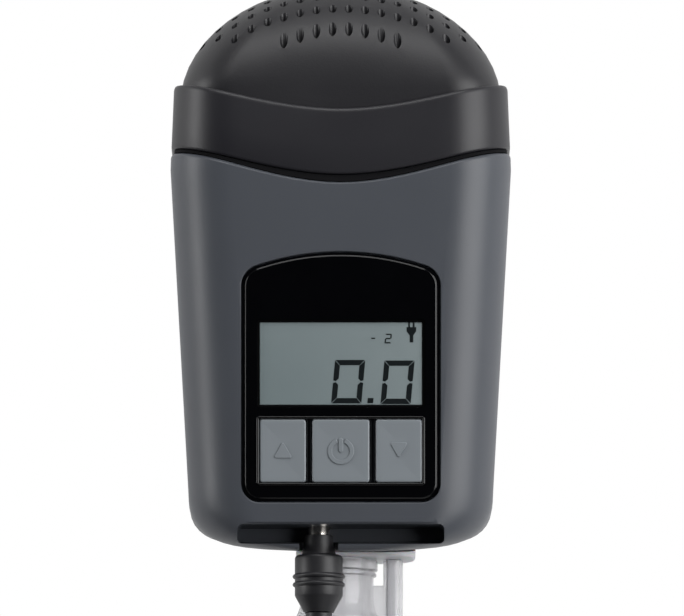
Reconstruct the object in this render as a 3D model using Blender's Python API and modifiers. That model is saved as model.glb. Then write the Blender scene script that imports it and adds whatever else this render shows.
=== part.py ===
"""A travel breathing-pressure machine lying on its back, with its filter cap, hose adapter and power lead.

X runs across the machine, Y from the hose end to the filter cap, and Z up through the display.
Lengths are in metres. Places along Y are measured from the lower end of the housing, and heights from the
table, inside an empty that then centres the machine on the origin.
"""
import math

import bmesh
import bpy
from mathutils import Matrix, Vector

# Fits and finish
GAP = 0.0003  # between a piece and what it seats on or slides in
OVERRUN = 0.003  # how far a cut runs past what it cuts
ROUND_STEPS = 20
MIDDLE_ROUND_STEPS = 16
SMALL_ROUND_STEPS = 12
SCREW_STEPS = 8
CORNER_STEPS = 4
FLAT_STEPS = 6
SMOOTH_ANGLE = math.radians(35)

# Housing: a wedge with rounded corners, narrower and thinner towards the hose end
HOUSING_WIDTH = 0.084
WIDEST_Y = 0.0953
SEAM_Y = 0.0993  # where housing and cap meet, at the sides
SEAM_DIP = 0.0087  # how far that seam dips at the middle of the front and back
SEAM_BLEND_Y = 0.078  # above this the sections start to follow the seam
SIDE_TAPER_SHARE = 0.0559
CAP_TAPER_SHARE = 0.035
LOWER_CURVE_Y = 0.0165  # below this the sides curve in
LOWER_CURVE_POWERS = (2.35, 5.0)
FRONT_LOW = 0.0449  # height of the front face at the hose end
FRONT_SLOPE = math.radians(3.64)
BACK_HEIGHT = 0.0012
FRONT_CORNER = 0.015
BACK_CORNER = 0.012
FRONT_EDGE_ROUND = 0.0025
BACK_EDGE_ROUND = 0.004
END_SLOPE = math.radians(8)
TOP_EDGE_ROUND = 0.0012
WALL = 0.0022
PARTING_HEIGHT = 0.018
LOWER_RING_SHARES = (0.985, 0.95, 0.88, 0.77, 0.6, 0.36, 0)
MIDDLE_RING_SHARES = (0.5, 1)
BLEND_RING_SHARES = (0.45, 0.8)
INNER_RING_SHARES = (0.95, 0.77, 0.5, 0)

# Plug trough across the hose end of the front, and the notch that lets the plug in
TROUGH_WIDTH = 0.0509
TROUGH_LOW_Y = 0.0016
TROUGH_HIGH_Y = 0.0066
TROUGH_WALL = 0.0021
TROUGH_END_CORNER = 0.0012
NOTCH_WIDTH = 0.0096

# Display fascia, a plate sunk in the front face
FASCIA_FOOT_MARGIN = 0.0046  # from the keys to the fascia's lower edge
FASCIA_HEAD_MARGIN = 0.0165  # from the window to the top of the fascia's arc
FASCIA_ARC_RADIUS = 0.065
FASCIA_SHOULDER_RADIUS = 0.005
FASCIA_FOOT_RADIUS = 0.0044
FASCIA_THICKNESS = 0.0019
FASCIA_PROUD = 0.0003
FASCIA_EDGE = 0.0004
LEDGE_THICKNESS = 0.002
LEDGE_WIDTH = 0.0013
LEDGE_MARGIN = 0.0026

# Window, its lens and the display under it
WINDOW_WIDTH = 0.0412
WINDOW_HEIGHT = 0.0216
WINDOW_GAP = 0.0029  # from the keys to the window
WINDOW_STEP = 0.0006
LENS_THICKNESS = 0.0007
LCD_MARGIN = 0.002
LCD_THICKNESS = 0.0024
LCD_DROP = 0.0006  # from the underside of the fascia to the glass
LCD_CORNER = 0.0006
HOLDER_INNER_SHARE = 0.86

# Keys
KEY_HEIGHT = 0.0155
KEY_SWITCH_CLEARANCE = 0.00054  # from the power jack's end to the switches above it
POWER_KEY_WIDTH = 0.0141
KEY_ROW_INSET = 0.00065  # from the window's side to the outer keys
KEY_SPACING = 0.0015
KEY_CORNER = 0.0007
KEY_PROUD = 0.0004
KEY_EDGE = 0.0005
KEY_FLANGE = 0.0005
KEY_FLANGE_THICKNESS = 0.001
KEY_STEM_RADIUS = 0.0015
KEY_TRAVEL = 0.0006
KEY_CLEARANCE = 0.0009  # between stem and switch, more than the travel
KEY_DISH_DEPTH = 0.00025
RIM_WIDTH = 0.0006
RIM_HEIGHT = 0.00025

# Board and switches
BOARD_SIDE_ROOM = 0.016
BOARD_LOW_V = 0.0150
BOARD_HIGH_V = 0.0745
BOARD_THICKNESS = 0.0016
BOARD_DROP = 0.0080  # from the front face to the board
BOARD_CORNER = 0.002
SWITCH_WIDTH = 0.006
PLUNGER_HEIGHT = 0.0008
PLUNGER_RADIUS = 0.0017
CHIP_SIZE = 0.009
CHIP_HEIGHT = 0.0016
CONNECTOR_WIDTH = 0.014
CONNECTOR_DEPTH = 0.005
CONNECTOR_HEIGHT = 0.0045
CAPACITOR_RADIUS = 0.0032
CAPACITOR_HEIGHT = 0.006
BOARD_POST_RADIUS = 0.0022
BOARD_POST_INSET = 0.0028
BOARD_SCREW_RADIUS = 0.0009
BOARD_SCREW_HEAD_RADIUS = 0.0018
BOARD_SCREW_HEAD_HEIGHT = 0.0011
BOARD_SCREW_LENGTH = 0.0042

# Power jack and plug
PLUG_X = -0.0054
PLUG_HEIGHT = 0.0365
BARREL_RADIUS = 0.00275
BARREL_BORE_RADIUS = 0.0013
BARREL_LENGTH = 0.0098
BARREL_SEATED = 0.0024
JACK_PIN_RADIUS = 0.001
JACK_WIDTH = 0.009
JACK_HEIGHT = 0.010
JACK_LENGTH = 0.0115
JACK_WALL = 0.0014
PLUG_NECK_RADIUS = 0.0035
PLUG_NECK_LENGTH = 0.0049
PLUG_BODY_RADIUS = 0.0059
PLUG_BODY_LENGTH = 0.0120
PLUG_BODY_EDGE = 0.0009
PLUG_TAPER_LENGTH = 0.0021
PLUG_TAPER_RADIUS = 0.0036
PLUG_RIB_HEIGHT = 0.0005
PLUG_RIB_WIDTH = 0.0013
PLUG_RIB_SPACING = 0.0020
PLUG_RIB_SHARE = 0.56  # of the body's length, from its face to the first rib
RELIEF_LENGTH = 0.022
RELIEF_ROOT_RADIUS = 0.0033
RELIEF_TIP_RADIUS = 0.0024
RELIEF_RIBS = 4
RELIEF_GROOVE_DEPTH = 0.0006
PLUG_TRAVEL = 0.010

# Hose port at the lower end, and the adapter that plugs into it
PORT_X = -0.0009
PORT_HEIGHT = 0.018
SENSE_SPACING = 0.0138  # from the hose port to the sensing port, along X
SPIGOT_RADIUS = 0.0080
SPIGOT_BORE_RADIUS = 0.0068
SPIGOT_LENGTH = 0.0140
SOCKET_WALL = 0.0018
SOCKET_LENGTH = 0.0132
SOCKET_START_Y = 0.0050
PORT_FLANGE_THICKNESS = 0.0020
PORT_FLANGE_MARGIN = 0.0016
PORT_FLANGE_Y = 0.0076
SEAL_HEIGHT = 0.0024
SEAL_DEPTH = 0.0010
SEAL_Y = 0.0105
SENSE_RADIUS = 0.0024
SENSE_BORE_RADIUS = 0.0013
SENSE_SPIGOT_RADIUS = 0.0017
SENSE_SPIGOT_LENGTH = 0.0095
SENSE_SOCKET_LENGTH = 0.0070
SENSE_SOCKET_WALL = 0.0013
COLLAR_WIDTH = 0.0295
COLLAR_DEPTH = 0.0232
COLLAR_MIDDLE_X = 0.0037
COLLAR_CORNER = 0.0085
COLLAR_FACE_Y = -0.0012
COLLAR_EDGE = 0.0006
LIP_RADIUS = 0.0100
LIP_LENGTH = 0.0019
RING_RADIUS = 0.0097
RING_LENGTH = 0.0009
NECK_GROOVE = 0.0006
NECK_RADIUS = 0.0090
NECK_LENGTH = 0.0074
CONE_ROOT_RADIUS = 0.0104
CONE_RADIUS = 0.0110
CONE_BORE_RADIUS = 0.0093
CONE_FLARE_LENGTH = 0.0040
ADAPTER_LENGTH = 0.024  # from the lower end of the housing to the end of the cone
WEB_START_Y = -0.0084
WEB_THICKNESS = 0.0018
ADAPTER_TRAVEL = 0.015

# Sensing line and sensor
SENSOR_SIZE = 0.007
SENSOR_HEIGHT = 0.0034
SENSOR_V = 0.030
SENSOR_NIPPLE_RADIUS = 0.0014
SENSOR_NIPPLE_LENGTH = 0.0025
LINE_RADIUS = 0.0016

# Blower: a snail shaped case in two halves, with its wheel and motor
BLOWER_Y = 0.054
BLOWER_LOW = 0.0093
BLOWER_HEIGHT = 0.0174
BLOWER_WALL = 0.0016
BLOWER_CLEARANCE = 0.0022  # from the snail to the housing's inner wall
TONGUE_RADIUS = 0.0172
CHANNEL_WIDTH = 0.0126
OUTLET_Y = 0.030
SNAIL_SWEEP = math.radians(306)
SNAIL_STEPS = 26
INLET_RADIUS = 0.009
INLET_LIP = 0.0022
INLET_LIP_HEIGHT = 0.0026
WHEEL_CLEARANCE = 0.0020
WHEEL_DISC = 0.0011
WHEEL_BLADES = 7
BLADE_HEIGHT = 0.0058
BLADE_TIP_HEIGHT = 0.0038
BLADE_THICKNESS = 0.0008
BLADE_ROOT_SHARE = 0.42
BLADE_SWEEP = math.radians(48)
BLADE_STEPS = 2
WHEEL_BOSS_RADIUS = 0.0029
WHEEL_HEIGHT_SHARE = 0.36  # of the snail's height, where the wheel's disc runs
MOTOR_RADIUS = 0.0110
MOTOR_LOW = 0.0042
MOTOR_WALL = 0.0009
MOTOR_FLANGE = 0.0016
MOTOR_FLANGE_THICKNESS = 0.0010
STATOR_HEIGHT = 0.0040
STATOR_TEETH = 6
STATOR_RIM = 0.0012
STATOR_TOOTH_WIDTH = 0.0026
STATOR_BORE_RADIUS = 0.0048
MAGNET_RADIUS = 0.0043
MAGNET_HEIGHT = 0.0038
SHAFT_RADIUS = 0.0010
BEARING_RADIUS = 0.0029
BEARING_BORE_RADIUS = 0.0013
BEARING_HEIGHT = 0.0014
MOUNT_WALL = 0.0019

# Duct from the blower to the hose port
DUCT_WALL = 0.0014
DUCT_RINGS = 4

# Top end: neck, seal, foam, filter and cap
NECK_LOW_Y = 0.0860
NECK_GROOVE_Y = 0.1014
NECK_TOP_Y = 0.1042
NECK_WALL = 0.0018
GRID_Y = 0.0965
GRID_THICKNESS = 0.0018
GRID_SLOTS = 5
GRID_SLOT_WIDTH = 0.0090
GRID_SLOT_PITCH = 0.0118
GRID_SLOT_HEIGHT = 0.032
CAP_SEAL_HEIGHT = 0.0014
CAP_SEAL_DEPTH = 0.0009
FOAM_LENGTH = 0.0058
FOAM_CLEARANCE = 0.0006
FILTER_THICKNESS = 0.0052
FILTER_CORNER = 0.0008
BAND_HEIGHT = 0.0160
BAND_INSET = 0.0001
BAND_WALL = 0.0015
BAND_GAP_SIDE = 0.0010
BAND_GAP_MIDDLE = 0.0019
BAND_EDGE = 0.0012
DOME_MIDDLE_Y = 0.1142
DOME_HEIGHT = 0.0278
DOME_WALL = 0.0016
DOME_RING_ANGLES = (0, 21, 41, 60, 76, 87)
DOME_INNER_RING_ANGLES = (0, 34, 62, 84)
DOME_FLAT_STEPS = 3
HOLE_PITCH = 0.0040
HOLE_ROW_PITCH = 0.0037
HOLE_RADIUS = 0.0008
HOLE_SIDES = 4
HOLE_FIELD_HALF_WIDTH = 0.0372
HOLE_FIELD_HALF_DEPTH = 0.0207
HOLE_LOWEST_ROW = -2  # the dome's underside, by the table, is plain
CAP_TRAVEL = 0.040

# Feet and case screws
FOOT_RADIUS = 0.0045
FOOT_RECESS = 0.0010
FOOT_EDGE = 0.0004
FOOT_LOW_PLACE = (0.0215, 0.0200)  # from the housing's side, and from its hose end, as the three below
FOOT_HIGH_PLACE = (0.0170, 0.0840)
CASE_SCREW_LOW_PLACE = (0.0125, 0.0260)
CASE_SCREW_HIGH_PLACE = (0.0105, 0.0755)
PILLAR_RADIUS = 0.0032
CASE_SCREW_RADIUS = 0.0012
CASE_SCREW_HEAD_RADIUS = 0.0024
CASE_SCREW_HEAD_HEIGHT = 0.0018
CASE_SCREW_HEAD_FLOOR = 0.0050
CASE_SCREW_LENGTH = 0.0200
PILOT_DEPTH = 0.0100

# Power lead: free stretch, coil put away beside it, and what is on its end
CORD_DIAMETER = 0.0036
CORD_ROUTE = (
    (-0.0054, -0.0370, 0.0365),
    (-0.0054, -0.0420, 0.0364),
    (-0.0050, -0.0470, 0.0360),
    (-0.0036, -0.0520, 0.0349),
    (-0.0012, -0.0570, 0.0330),
    (0.0016, -0.0620, 0.0300),
    (0.0042, -0.0670, 0.0260),
    (0.0062, -0.0720, 0.0210),
    (0.0074, -0.0770, 0.0156),
    (0.0081, -0.0820, 0.0105),
    (0.0085, -0.0870, 0.0065),
    (0.0087, -0.0920, 0.0042),
    (0.0088, -0.0970, 0.0033),
    (0.0088, -0.1010, 0.0032),
)
CORD_POINT_SPACING_SHARE = 2.2  # of the cord's diameter
COIL_PITCH = 0.0041
COIL_TURNS = 4
COIL_OUTER_RADIUS = 0.0288
COIL_POINTS = 24
COIL_TUCK = 0.0008  # how far the coil draws in where it climbs from one layer to the next
COIL_TAIL = 0.018
COIL_END_HEIGHT = 0.0058
TIE_WIDTH = 0.008
TIE_THICKNESS = 0.0007
TIE_CLEARANCE = 0.0006
SOCKET_BODY_RADIUS = 0.0054
SOCKET_BODY_LENGTH = 0.028
SOCKET_RELIEF_LENGTH = 0.010
SOCKET_BORE_DEPTH = 0.009
SOCKET_EDGE = 0.0008


for thing in list(bpy.data.objects):
    bpy.data.objects.remove(thing, do_unlink=True)

parts = bpy.data.collections.new("cpap_machine")
cutters = bpy.data.collections.new("cutters")
for group in (parts, cutters):
    bpy.context.scene.collection.children.link(group)

machine = bpy.data.objects.new("machine", None)
machine.location.y = (ADAPTER_LENGTH - DOME_MIDDLE_Y - DOME_HEIGHT) / 2
parts.objects.link(machine)

front_plane = bpy.data.objects.new("front_plane", None)
front_plane.parent = machine
front_plane.location.z = FRONT_LOW
front_plane.rotation_euler.x = FRONT_SLOPE
parts.objects.link(front_plane)


def finish(name, colour, roughness, metallic=0, alpha=1):
    material = bpy.data.materials.new(name)
    material.use_nodes = True
    shader = material.node_tree.nodes["Principled BSDF"]
    shader.inputs["Base Color"].default_value = (*colour, 1)
    shader.inputs["Roughness"].default_value = roughness
    shader.inputs["Metallic"].default_value = metallic
    shader.inputs["Alpha"].default_value = alpha
    return material


GREY_CASE = finish("grey_case", (0.085, 0.09, 0.105), 0.45)
BLACK_CAP = finish("black_cap", (0.022, 0.021, 0.026), 0.5)
GLOSS_BLACK = finish("gloss_black", (0.004, 0.004, 0.005), 0.08)
CLEAR = finish("clear", (0.8, 0.82, 0.84), 0.12, alpha=0.35)
LCD_GREEN = finish("lcd_green", (0.42, 0.46, 0.41), 0.2)
KEY_GREY = finish("key_grey", (0.22, 0.235, 0.25), 0.4)
PLASTIC_WHITE = finish("plastic_white", (0.7, 0.7, 0.68), 0.5)
PLASTIC_BLACK = finish("plastic_black", (0.03, 0.03, 0.032), 0.5)
BOARD_GREEN = finish("board_green", (0.02, 0.14, 0.06), 0.45)
STEEL = finish("steel", (0.6, 0.6, 0.6), 0.3, 1)
COPPER = finish("copper", (0.5, 0.22, 0.1), 0.4, 1)
RUBBER = finish("rubber", (0.02, 0.02, 0.02), 0.7)
SILICONE = finish("silicone", (0.5, 0.5, 0.52), 0.5)
FOAM = finish("foam", (0.12, 0.12, 0.13), 0.95)
FILTER_WHITE = finish("filter_white", (0.75, 0.76, 0.76), 0.9)
COLLAR_GREY = finish("collar_grey", (0.24, 0.25, 0.26), 0.35)


def tidy(bm):
    bmesh.ops.remove_doubles(bm, verts=bm.verts, dist=GAP / 100)
    bmesh.ops.recalc_face_normals(bm, faces=bm.faces)
    return bm


def put(name, bm, material=None, parent=machine, place=(0, 0, 0), turn=(0, 0, 0)):
    """An object from a bmesh: a part where it has a material, and a cutter where it has none."""
    mesh = bpy.data.meshes.new(name)
    bm.to_mesh(mesh)
    bm.free()
    mesh.shade_smooth()
    mesh.set_sharp_from_angle(angle=SMOOTH_ANGLE)
    thing = bpy.data.objects.new(name, mesh)
    thing.parent = parent
    thing.location = place
    thing.rotation_euler = turn
    if material:
        mesh.materials.append(material)
        parts.objects.link(thing)
    else:
        thing.hide_render = True
        thing.display_type = "WIRE"
        cutters.objects.link(thing)
    return thing


def combine(thing, other, operation="DIFFERENCE"):
    boolean = thing.modifiers.new(operation.lower(), "BOOLEAN")
    boolean.operation = operation
    boolean.object = other
    boolean.solver = "EXACT"
    return thing


def box(low, high):
    bm = bmesh.new()
    bmesh.ops.create_cube(bm, size=1)
    middle = (Vector(low) + Vector(high)) / 2
    size = Vector(high) - Vector(low)
    bmesh.ops.transform(bm, matrix=Matrix.Translation(middle) @ Matrix.Diagonal((*size, 1)), verts=bm.verts)
    return bm


def cylinders(radius, low, high, places, steps=ROUND_STEPS, top_radius=None):
    """Upright cylinders, or cones, of one size at each of the places in X and Y."""
    bm = bmesh.new()
    for x, y in places:
        bmesh.ops.create_cone(
            bm, cap_ends=True, segments=steps, radius1=radius,
            radius2=radius if top_radius is None else top_radius, depth=high - low,
            matrix=Matrix.Translation((x, y, (low + high) / 2)),
        )
    return bm


def along_y(bm, x, y, z):
    """Turns what was made upright so that its top points along +Y, and puts its foot at a place."""
    matrix = Matrix.Translation((x, y, z)) @ Matrix.Rotation(-math.pi / 2, 4, "X")
    bmesh.ops.transform(bm, matrix=matrix, verts=bm.verts)
    return bm


def loft(rings, closed=False, flat=False):
    """A skin through rings that have as many points each, capped at its ends unless it closes on itself.

    Its four-sided faces are split in two where a cut has to run through them."""
    bm = bmesh.new()
    loops = [[bm.verts.new(point) for point in ring] for ring in rings]
    for lower, upper in zip(loops, loops[1:] + loops[:1] if closed else loops[1:]):
        for i, vert in enumerate(lower):
            j = (i + 1) % len(lower)
            bm.faces.new((vert, lower[j], upper[j], upper[i]))
    if not closed:
        bm.faces.new(loops[0])
        bm.faces.new(loops[-1])
    if flat:
        bmesh.ops.triangulate(bm, faces=[face for face in bm.faces if len(face.verts) == 4])
    return tidy(bm)


def turned(name, profile, material, place, turn=(0, 0, 0), parent=machine, steps=ROUND_STEPS):
    """A revolved piece: (radius, height) points round its outer side, from top to bottom, then back up a bore."""
    bm = bmesh.new()
    verts = [bm.verts.new((radius, 0, height)) for radius, height in profile]
    for a, b in zip(verts, verts[1:]):
        if a.co.x or b.co.x:
            bm.edges.new((a, b))
    if profile[0][0] or profile[-1][0]:
        bm.edges.new((verts[-1], verts[0]))
    thing = put(name, bm, material, parent, place, turn)
    screw = thing.modifiers.new("turn", "SCREW")
    screw.axis = "Z"
    screw.angle = math.tau
    screw.steps = screw.render_steps = steps
    screw.use_merge_vertices = True
    screw.merge_threshold = GAP / 100
    return thing


def arc(middle_x, middle_y, radius, start, end, steps=CORNER_STEPS):
    """Points on an arc, with its angles in degrees."""
    angles = [math.radians(start + (end - start) * i / steps) for i in range(steps + 1)]
    return [(middle_x + radius * math.cos(a), middle_y + radius * math.sin(a)) for a in angles]


def rounded_outline(low, high, radius, steps=CORNER_STEPS):
    """The outline of a rectangle with round corners, between two corners in a plane."""
    (x0, y0), (x1, y1) = low, high
    return (
        arc(x1 - radius, y0 + radius, radius, -90, 0, steps)
        + arc(x1 - radius, y1 - radius, radius, 0, 90, steps)
        + arc(x0 + radius, y1 - radius, radius, 90, 180, steps)
        + arc(x0 + radius, y0 + radius, radius, 180, 270, steps)
    )


def plate(outline, low, high):
    """A flat outline as a filled curve, thickened between two heights and made a closed mesh."""
    curve = bpy.data.curves.new("outline", "CURVE")
    curve.dimensions = "2D"
    curve.fill_mode = "BOTH"
    curve.extrude = (high - low) / 2
    spline = curve.splines.new("POLY")
    spline.points.add(len(outline) - 1)
    for point, (x, y) in zip(spline.points, outline):
        point.co = (x, y, 0, 1)
    spline.use_cyclic_u = True
    return curve_solid(curve, (0, 0, (low + high) / 2))


def curve_solid(curve, place=(0, 0, 0)):
    """A curve's own solid, with its caps welded."""
    holder = bpy.data.objects.new("outline", curve)
    bpy.context.scene.collection.objects.link(holder)
    shown = holder.evaluated_get(bpy.context.evaluated_depsgraph_get())
    mesh = bpy.data.meshes.new_from_object(shown)
    bm = bmesh.new()
    bm.from_mesh(mesh)
    bmesh.ops.translate(bm, vec=place, verts=bm.verts)
    bpy.data.objects.remove(holder, do_unlink=True)
    bpy.data.curves.remove(curve)
    bpy.data.meshes.remove(mesh)
    return tidy(bm)


def tube(points, radius, resolution):
    """A round solid along points, with filled caps."""
    curve = bpy.data.curves.new("tube", "CURVE")
    curve.dimensions = "3D"
    curve.bevel_depth = radius
    curve.bevel_resolution = resolution
    curve.use_fill_caps = True
    spline = curve.splines.new("POLY")
    spline.points.add(len(points) - 1)
    for point, place in zip(spline.points, points):
        point.co = (*place, 1)
    return curve_solid(curve)


# The housing's shape

def half_width(y):
    """Half the housing's width at a distance along it."""
    if y >= WIDEST_Y:
        return HOUSING_WIDTH / 2 - CAP_TAPER_SHARE * (y - WIDEST_Y)
    straight = HOUSING_WIDTH / 2 - SIDE_TAPER_SHARE * (WIDEST_Y - max(y, LOWER_CURVE_Y))
    share = max(0, 1 - y / LOWER_CURVE_Y)
    along, across = LOWER_CURVE_POWERS
    return straight * (1 - share**along) ** (1 / across)


def front_height(y):
    return FRONT_LOW + math.tan(FRONT_SLOPE) * min(y, WIDEST_Y) - CAP_TAPER_SHARE * max(0, y - WIDEST_Y)


def back_height(y):
    return BACK_HEIGHT + CAP_TAPER_SHARE * max(0, y - WIDEST_Y)


def round_off(y, radius):
    """How far a face has dropped back in a round edge that ends at y = 0."""
    return 0 if y >= radius else radius - math.sqrt(radius**2 - (radius - y) ** 2)


def section(half, low, high, low_corner, high_corner, flat_steps=FLAT_STEPS):
    """A rounded rectangle's points in X and Z, with extra points along its front and back."""
    corners = (
        arc(half - low_corner, low + low_corner, low_corner, -90, 0),
        arc(half - high_corner, high - high_corner, high_corner, 0, 90),
        arc(high_corner - half, high - high_corner, high_corner, 90, 180),
        arc(low_corner - half, low + low_corner, low_corner, 180, 270),
    )
    points = []
    for i, corner in enumerate(corners):
        points += corner
        if i in (1, 3):
            start, end = corner[-1][0], corners[(i + 1) % 4][0][0]
            points += [(start + (end - start) * k / flat_steps, corner[-1][1]) for k in range(1, flat_steps)]
    return points


def seam(x):
    """The distance along Y of the seam between housing and cap."""
    share = min(1, abs(x) / (HOUSING_WIDTH / 2))
    return SEAM_Y - SEAM_DIP * (1 - share * share * (2 - share))


def housing_ring(y, inset=0, seamed=True):
    """The housing's outline at a distance along it, drawn in by an inset."""
    end_share = max(0, 1 - y / LOWER_CURVE_Y)
    seam_share = max(0, y - SEAM_BLEND_Y) / (SEAM_Y - SEAM_BLEND_Y) * seamed
    low = back_height(y) + round_off(y, BACK_EDGE_ROUND) + inset
    high = front_height(y) - round_off(y, FRONT_EDGE_ROUND) - inset
    lip = FRONT_LOW - FRONT_EDGE_ROUND
    ring = []
    for x, z in section(half_width(y) - inset, low, high, BACK_CORNER - inset, FRONT_CORNER - inset):
        at = y + inset * end_share + end_share**2 * (lip - z) * math.tan(END_SLOPE)
        at += seam_share * (seam(x) - SEAM_Y)
        drop = (front_height(y) - front_height(at)) * (z - low) / (high - low) if seam_share else 0
        ring.append((x, at, z - drop))
    return ring


def housing_stations(top, lower_shares=LOWER_RING_SHARES):
    """The distances along Y of the housing's rings, from its lower end up."""
    stations = [LOWER_CURVE_Y * (1 - share) for share in lower_shares]
    stations += [LOWER_CURVE_Y + (SEAM_BLEND_Y - LOWER_CURVE_Y) * share for share in MIDDLE_RING_SHARES]
    stations += [SEAM_BLEND_Y + (top - SEAM_BLEND_Y) * share for share in BLEND_RING_SHARES]
    return stations


def contour(y, inset, at=None):
    """The housing's or cap's outline at a distance along it, as a flat ring."""
    outline = section(
        half_width(y) - inset, back_height(y) + inset, front_height(y) - inset,
        BACK_CORNER - inset, FRONT_CORNER - inset,
    )
    return [(x, y if at is None else at(x), z) for x, z in outline]


def inner_half_width(y, z):
    """Half the room between the side walls at a distance along the housing and a height in its back corner."""
    corner = BACK_CORNER - WALL
    rise = max(0, BACK_HEIGHT + BACK_CORNER - z)
    return half_width(y) - WALL - corner + math.sqrt(max(0, corner**2 - rise**2))


def end_wall_y(z):
    """Where the outside of the lower end wall lies at a height."""
    return (FRONT_LOW - FRONT_EDGE_ROUND - z) * math.tan(END_SLOPE)


case_screw_places, foot_places = (
    [(side * (HOUSING_WIDTH / 2 - x), y) for x, y in places for side in (-1, 1)]
    for places in ((CASE_SCREW_LOW_PLACE, CASE_SCREW_HIGH_PLACE), (FOOT_LOW_PLACE, FOOT_HIGH_PLACE)))
board_width = HOUSING_WIDTH - BOARD_SIDE_ROOM * 2
side_key_width = WINDOW_WIDTH / 2 - KEY_ROW_INSET - POWER_KEY_WIDTH / 2 - KEY_SPACING
key_middle = POWER_KEY_WIDTH / 2 + KEY_SPACING + side_key_width / 2
keys = (("up", -key_middle, side_key_width), ("power", 0, POWER_KEY_WIDTH), ("down", key_middle, side_key_width))
keys_half_width = key_middle + side_key_width / 2
board_post_places = [
    (side * (board_width / 2 - BOARD_POST_INSET), v)
    for v in (BOARD_LOW_V + BOARD_POST_INSET, BOARD_HIGH_V - BOARD_POST_INSET) for side in (-1, 1)
]
recess_floor = FASCIA_PROUD - FASCIA_THICKNESS - GAP
sense_x = PORT_X + SENSE_SPACING
socket_bore = SPIGOT_RADIUS + GAP * 2
socket_radius = socket_bore + SOCKET_WALL
sense_socket_radius = SENSE_SPIGOT_RADIUS + GAP + SENSE_SOCKET_WALL


jack_end_v = TROUGH_HIGH_Y + TROUGH_WALL + GAP + JACK_LENGTH + BOARD_DROP * math.sin(FRONT_SLOPE)
key_middle_v = jack_end_v + SWITCH_WIDTH / 2 + KEY_SWITCH_CLEARANCE
fascia_width = WINDOW_WIDTH + (LCD_MARGIN + GAP + LEDGE_WIDTH) * 2
window_middle_v = key_middle_v + KEY_HEIGHT / 2 + WINDOW_GAP + WINDOW_HEIGHT / 2
fascia_low_v = key_middle_v - KEY_HEIGHT / 2 - FASCIA_FOOT_MARGIN
fascia_high_v = window_middle_v + WINDOW_HEIGHT / 2 + FASCIA_HEAD_MARGIN


def fascia_outline(margin=0):
    """The display fascia's outline: an arc on top, round shoulders and round lower corners."""
    half = fascia_width / 2 + margin
    arc_radius = FASCIA_ARC_RADIUS + margin
    shoulder = FASCIA_SHOULDER_RADIUS + margin
    foot = FASCIA_FOOT_RADIUS + margin
    arc_middle = fascia_high_v - FASCIA_ARC_RADIUS
    shoulder_x = half - shoulder
    shoulder_v = arc_middle + math.sqrt((arc_radius - shoulder) ** 2 - shoulder_x**2)
    lean = math.degrees(math.atan2(shoulder_v - arc_middle, shoulder_x))
    low = fascia_low_v - margin
    return (
        arc(half - foot, low + foot, foot, -90, 0)
        + arc(shoulder_x, shoulder_v, shoulder, 0, lean)
        + arc(0, arc_middle, arc_radius, lean, 180 - lean, FLAT_STEPS)[1:-1]
        + arc(-shoulder_x, shoulder_v, shoulder, 180 - lean, 180)
        + arc(foot - half, low + foot, foot, 180, 270)
    )


def window_outline(margin=0):
    half = WINDOW_WIDTH / 2 + margin
    rise = WINDOW_HEIGHT / 2 + margin
    return rounded_outline((-half, window_middle_v - rise), (half, window_middle_v + rise), LCD_CORNER, 2)


def key_outline(middle, width, margin=0):
    half = width / 2 + margin
    rise = KEY_HEIGHT / 2 + margin
    low = (middle - half, key_middle_v - rise)
    return rounded_outline(low, (middle + half, key_middle_v + rise), KEY_CORNER, 2)


# Housing halves

def half_case(name, low, high, posts, solids):
    """One half of the housing: a cup with its walls, plus what stands on its inside, cut at a parting height."""
    stations = housing_stations(SEAM_Y)
    top = [(SEAM_Y - TOP_EDGE_ROUND, 0), (SEAM_Y - TOP_EDGE_ROUND / 3, TOP_EDGE_ROUND / 3), (SEAM_Y, TOP_EDGE_ROUND)]
    outer = [housing_ring(y) for y in stations] + [housing_ring(y, inset) for y, inset in top]
    inner = [housing_ring(y, WALL) for y in (*housing_stations(SEAM_Y, INNER_RING_SHARES), SEAM_Y)]
    case = put(name, loft(outer + inner[::-1], flat=True), GREY_CASE)
    inside_wall = put(
        f"{name}_mid_wall",
        loft([housing_ring(y, WALL / 2, seamed=False) for y in housing_stations(WIDEST_Y, INNER_RING_SHARES)], flat=True),
    )
    combine(case, combine(put(f"{name}_posts", posts), inside_wall, "INTERSECT"), "UNION")
    for solid in solids:
        combine(case, combine(solid, inside_wall, "INTERSECT"), "UNION")
    reach = HOUSING_WIDTH + OVERRUN
    half = put(f"{name}_half", box((-reach, -OVERRUN, low), (reach, SEAM_Y + OVERRUN, high)))
    return combine(case, half, "INTERSECT")


def port_cut(name):
    """The hole in the lower end wall for the hose port and the sensing port."""
    start = -OVERRUN
    length = PORT_FLANGE_Y + OVERRUN
    ports = put(f"{name}_hose_hole", along_y(cylinders(socket_radius + GAP, 0, length, [(0, 0)]), PORT_X, start, PORT_HEIGHT))
    sense = along_y(cylinders(sense_socket_radius + GAP, 0, length, [(0, 0)]), sense_x, start, PORT_HEIGHT)
    return combine(ports, put(f"{name}_sense_hole", sense), "UNION")


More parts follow.
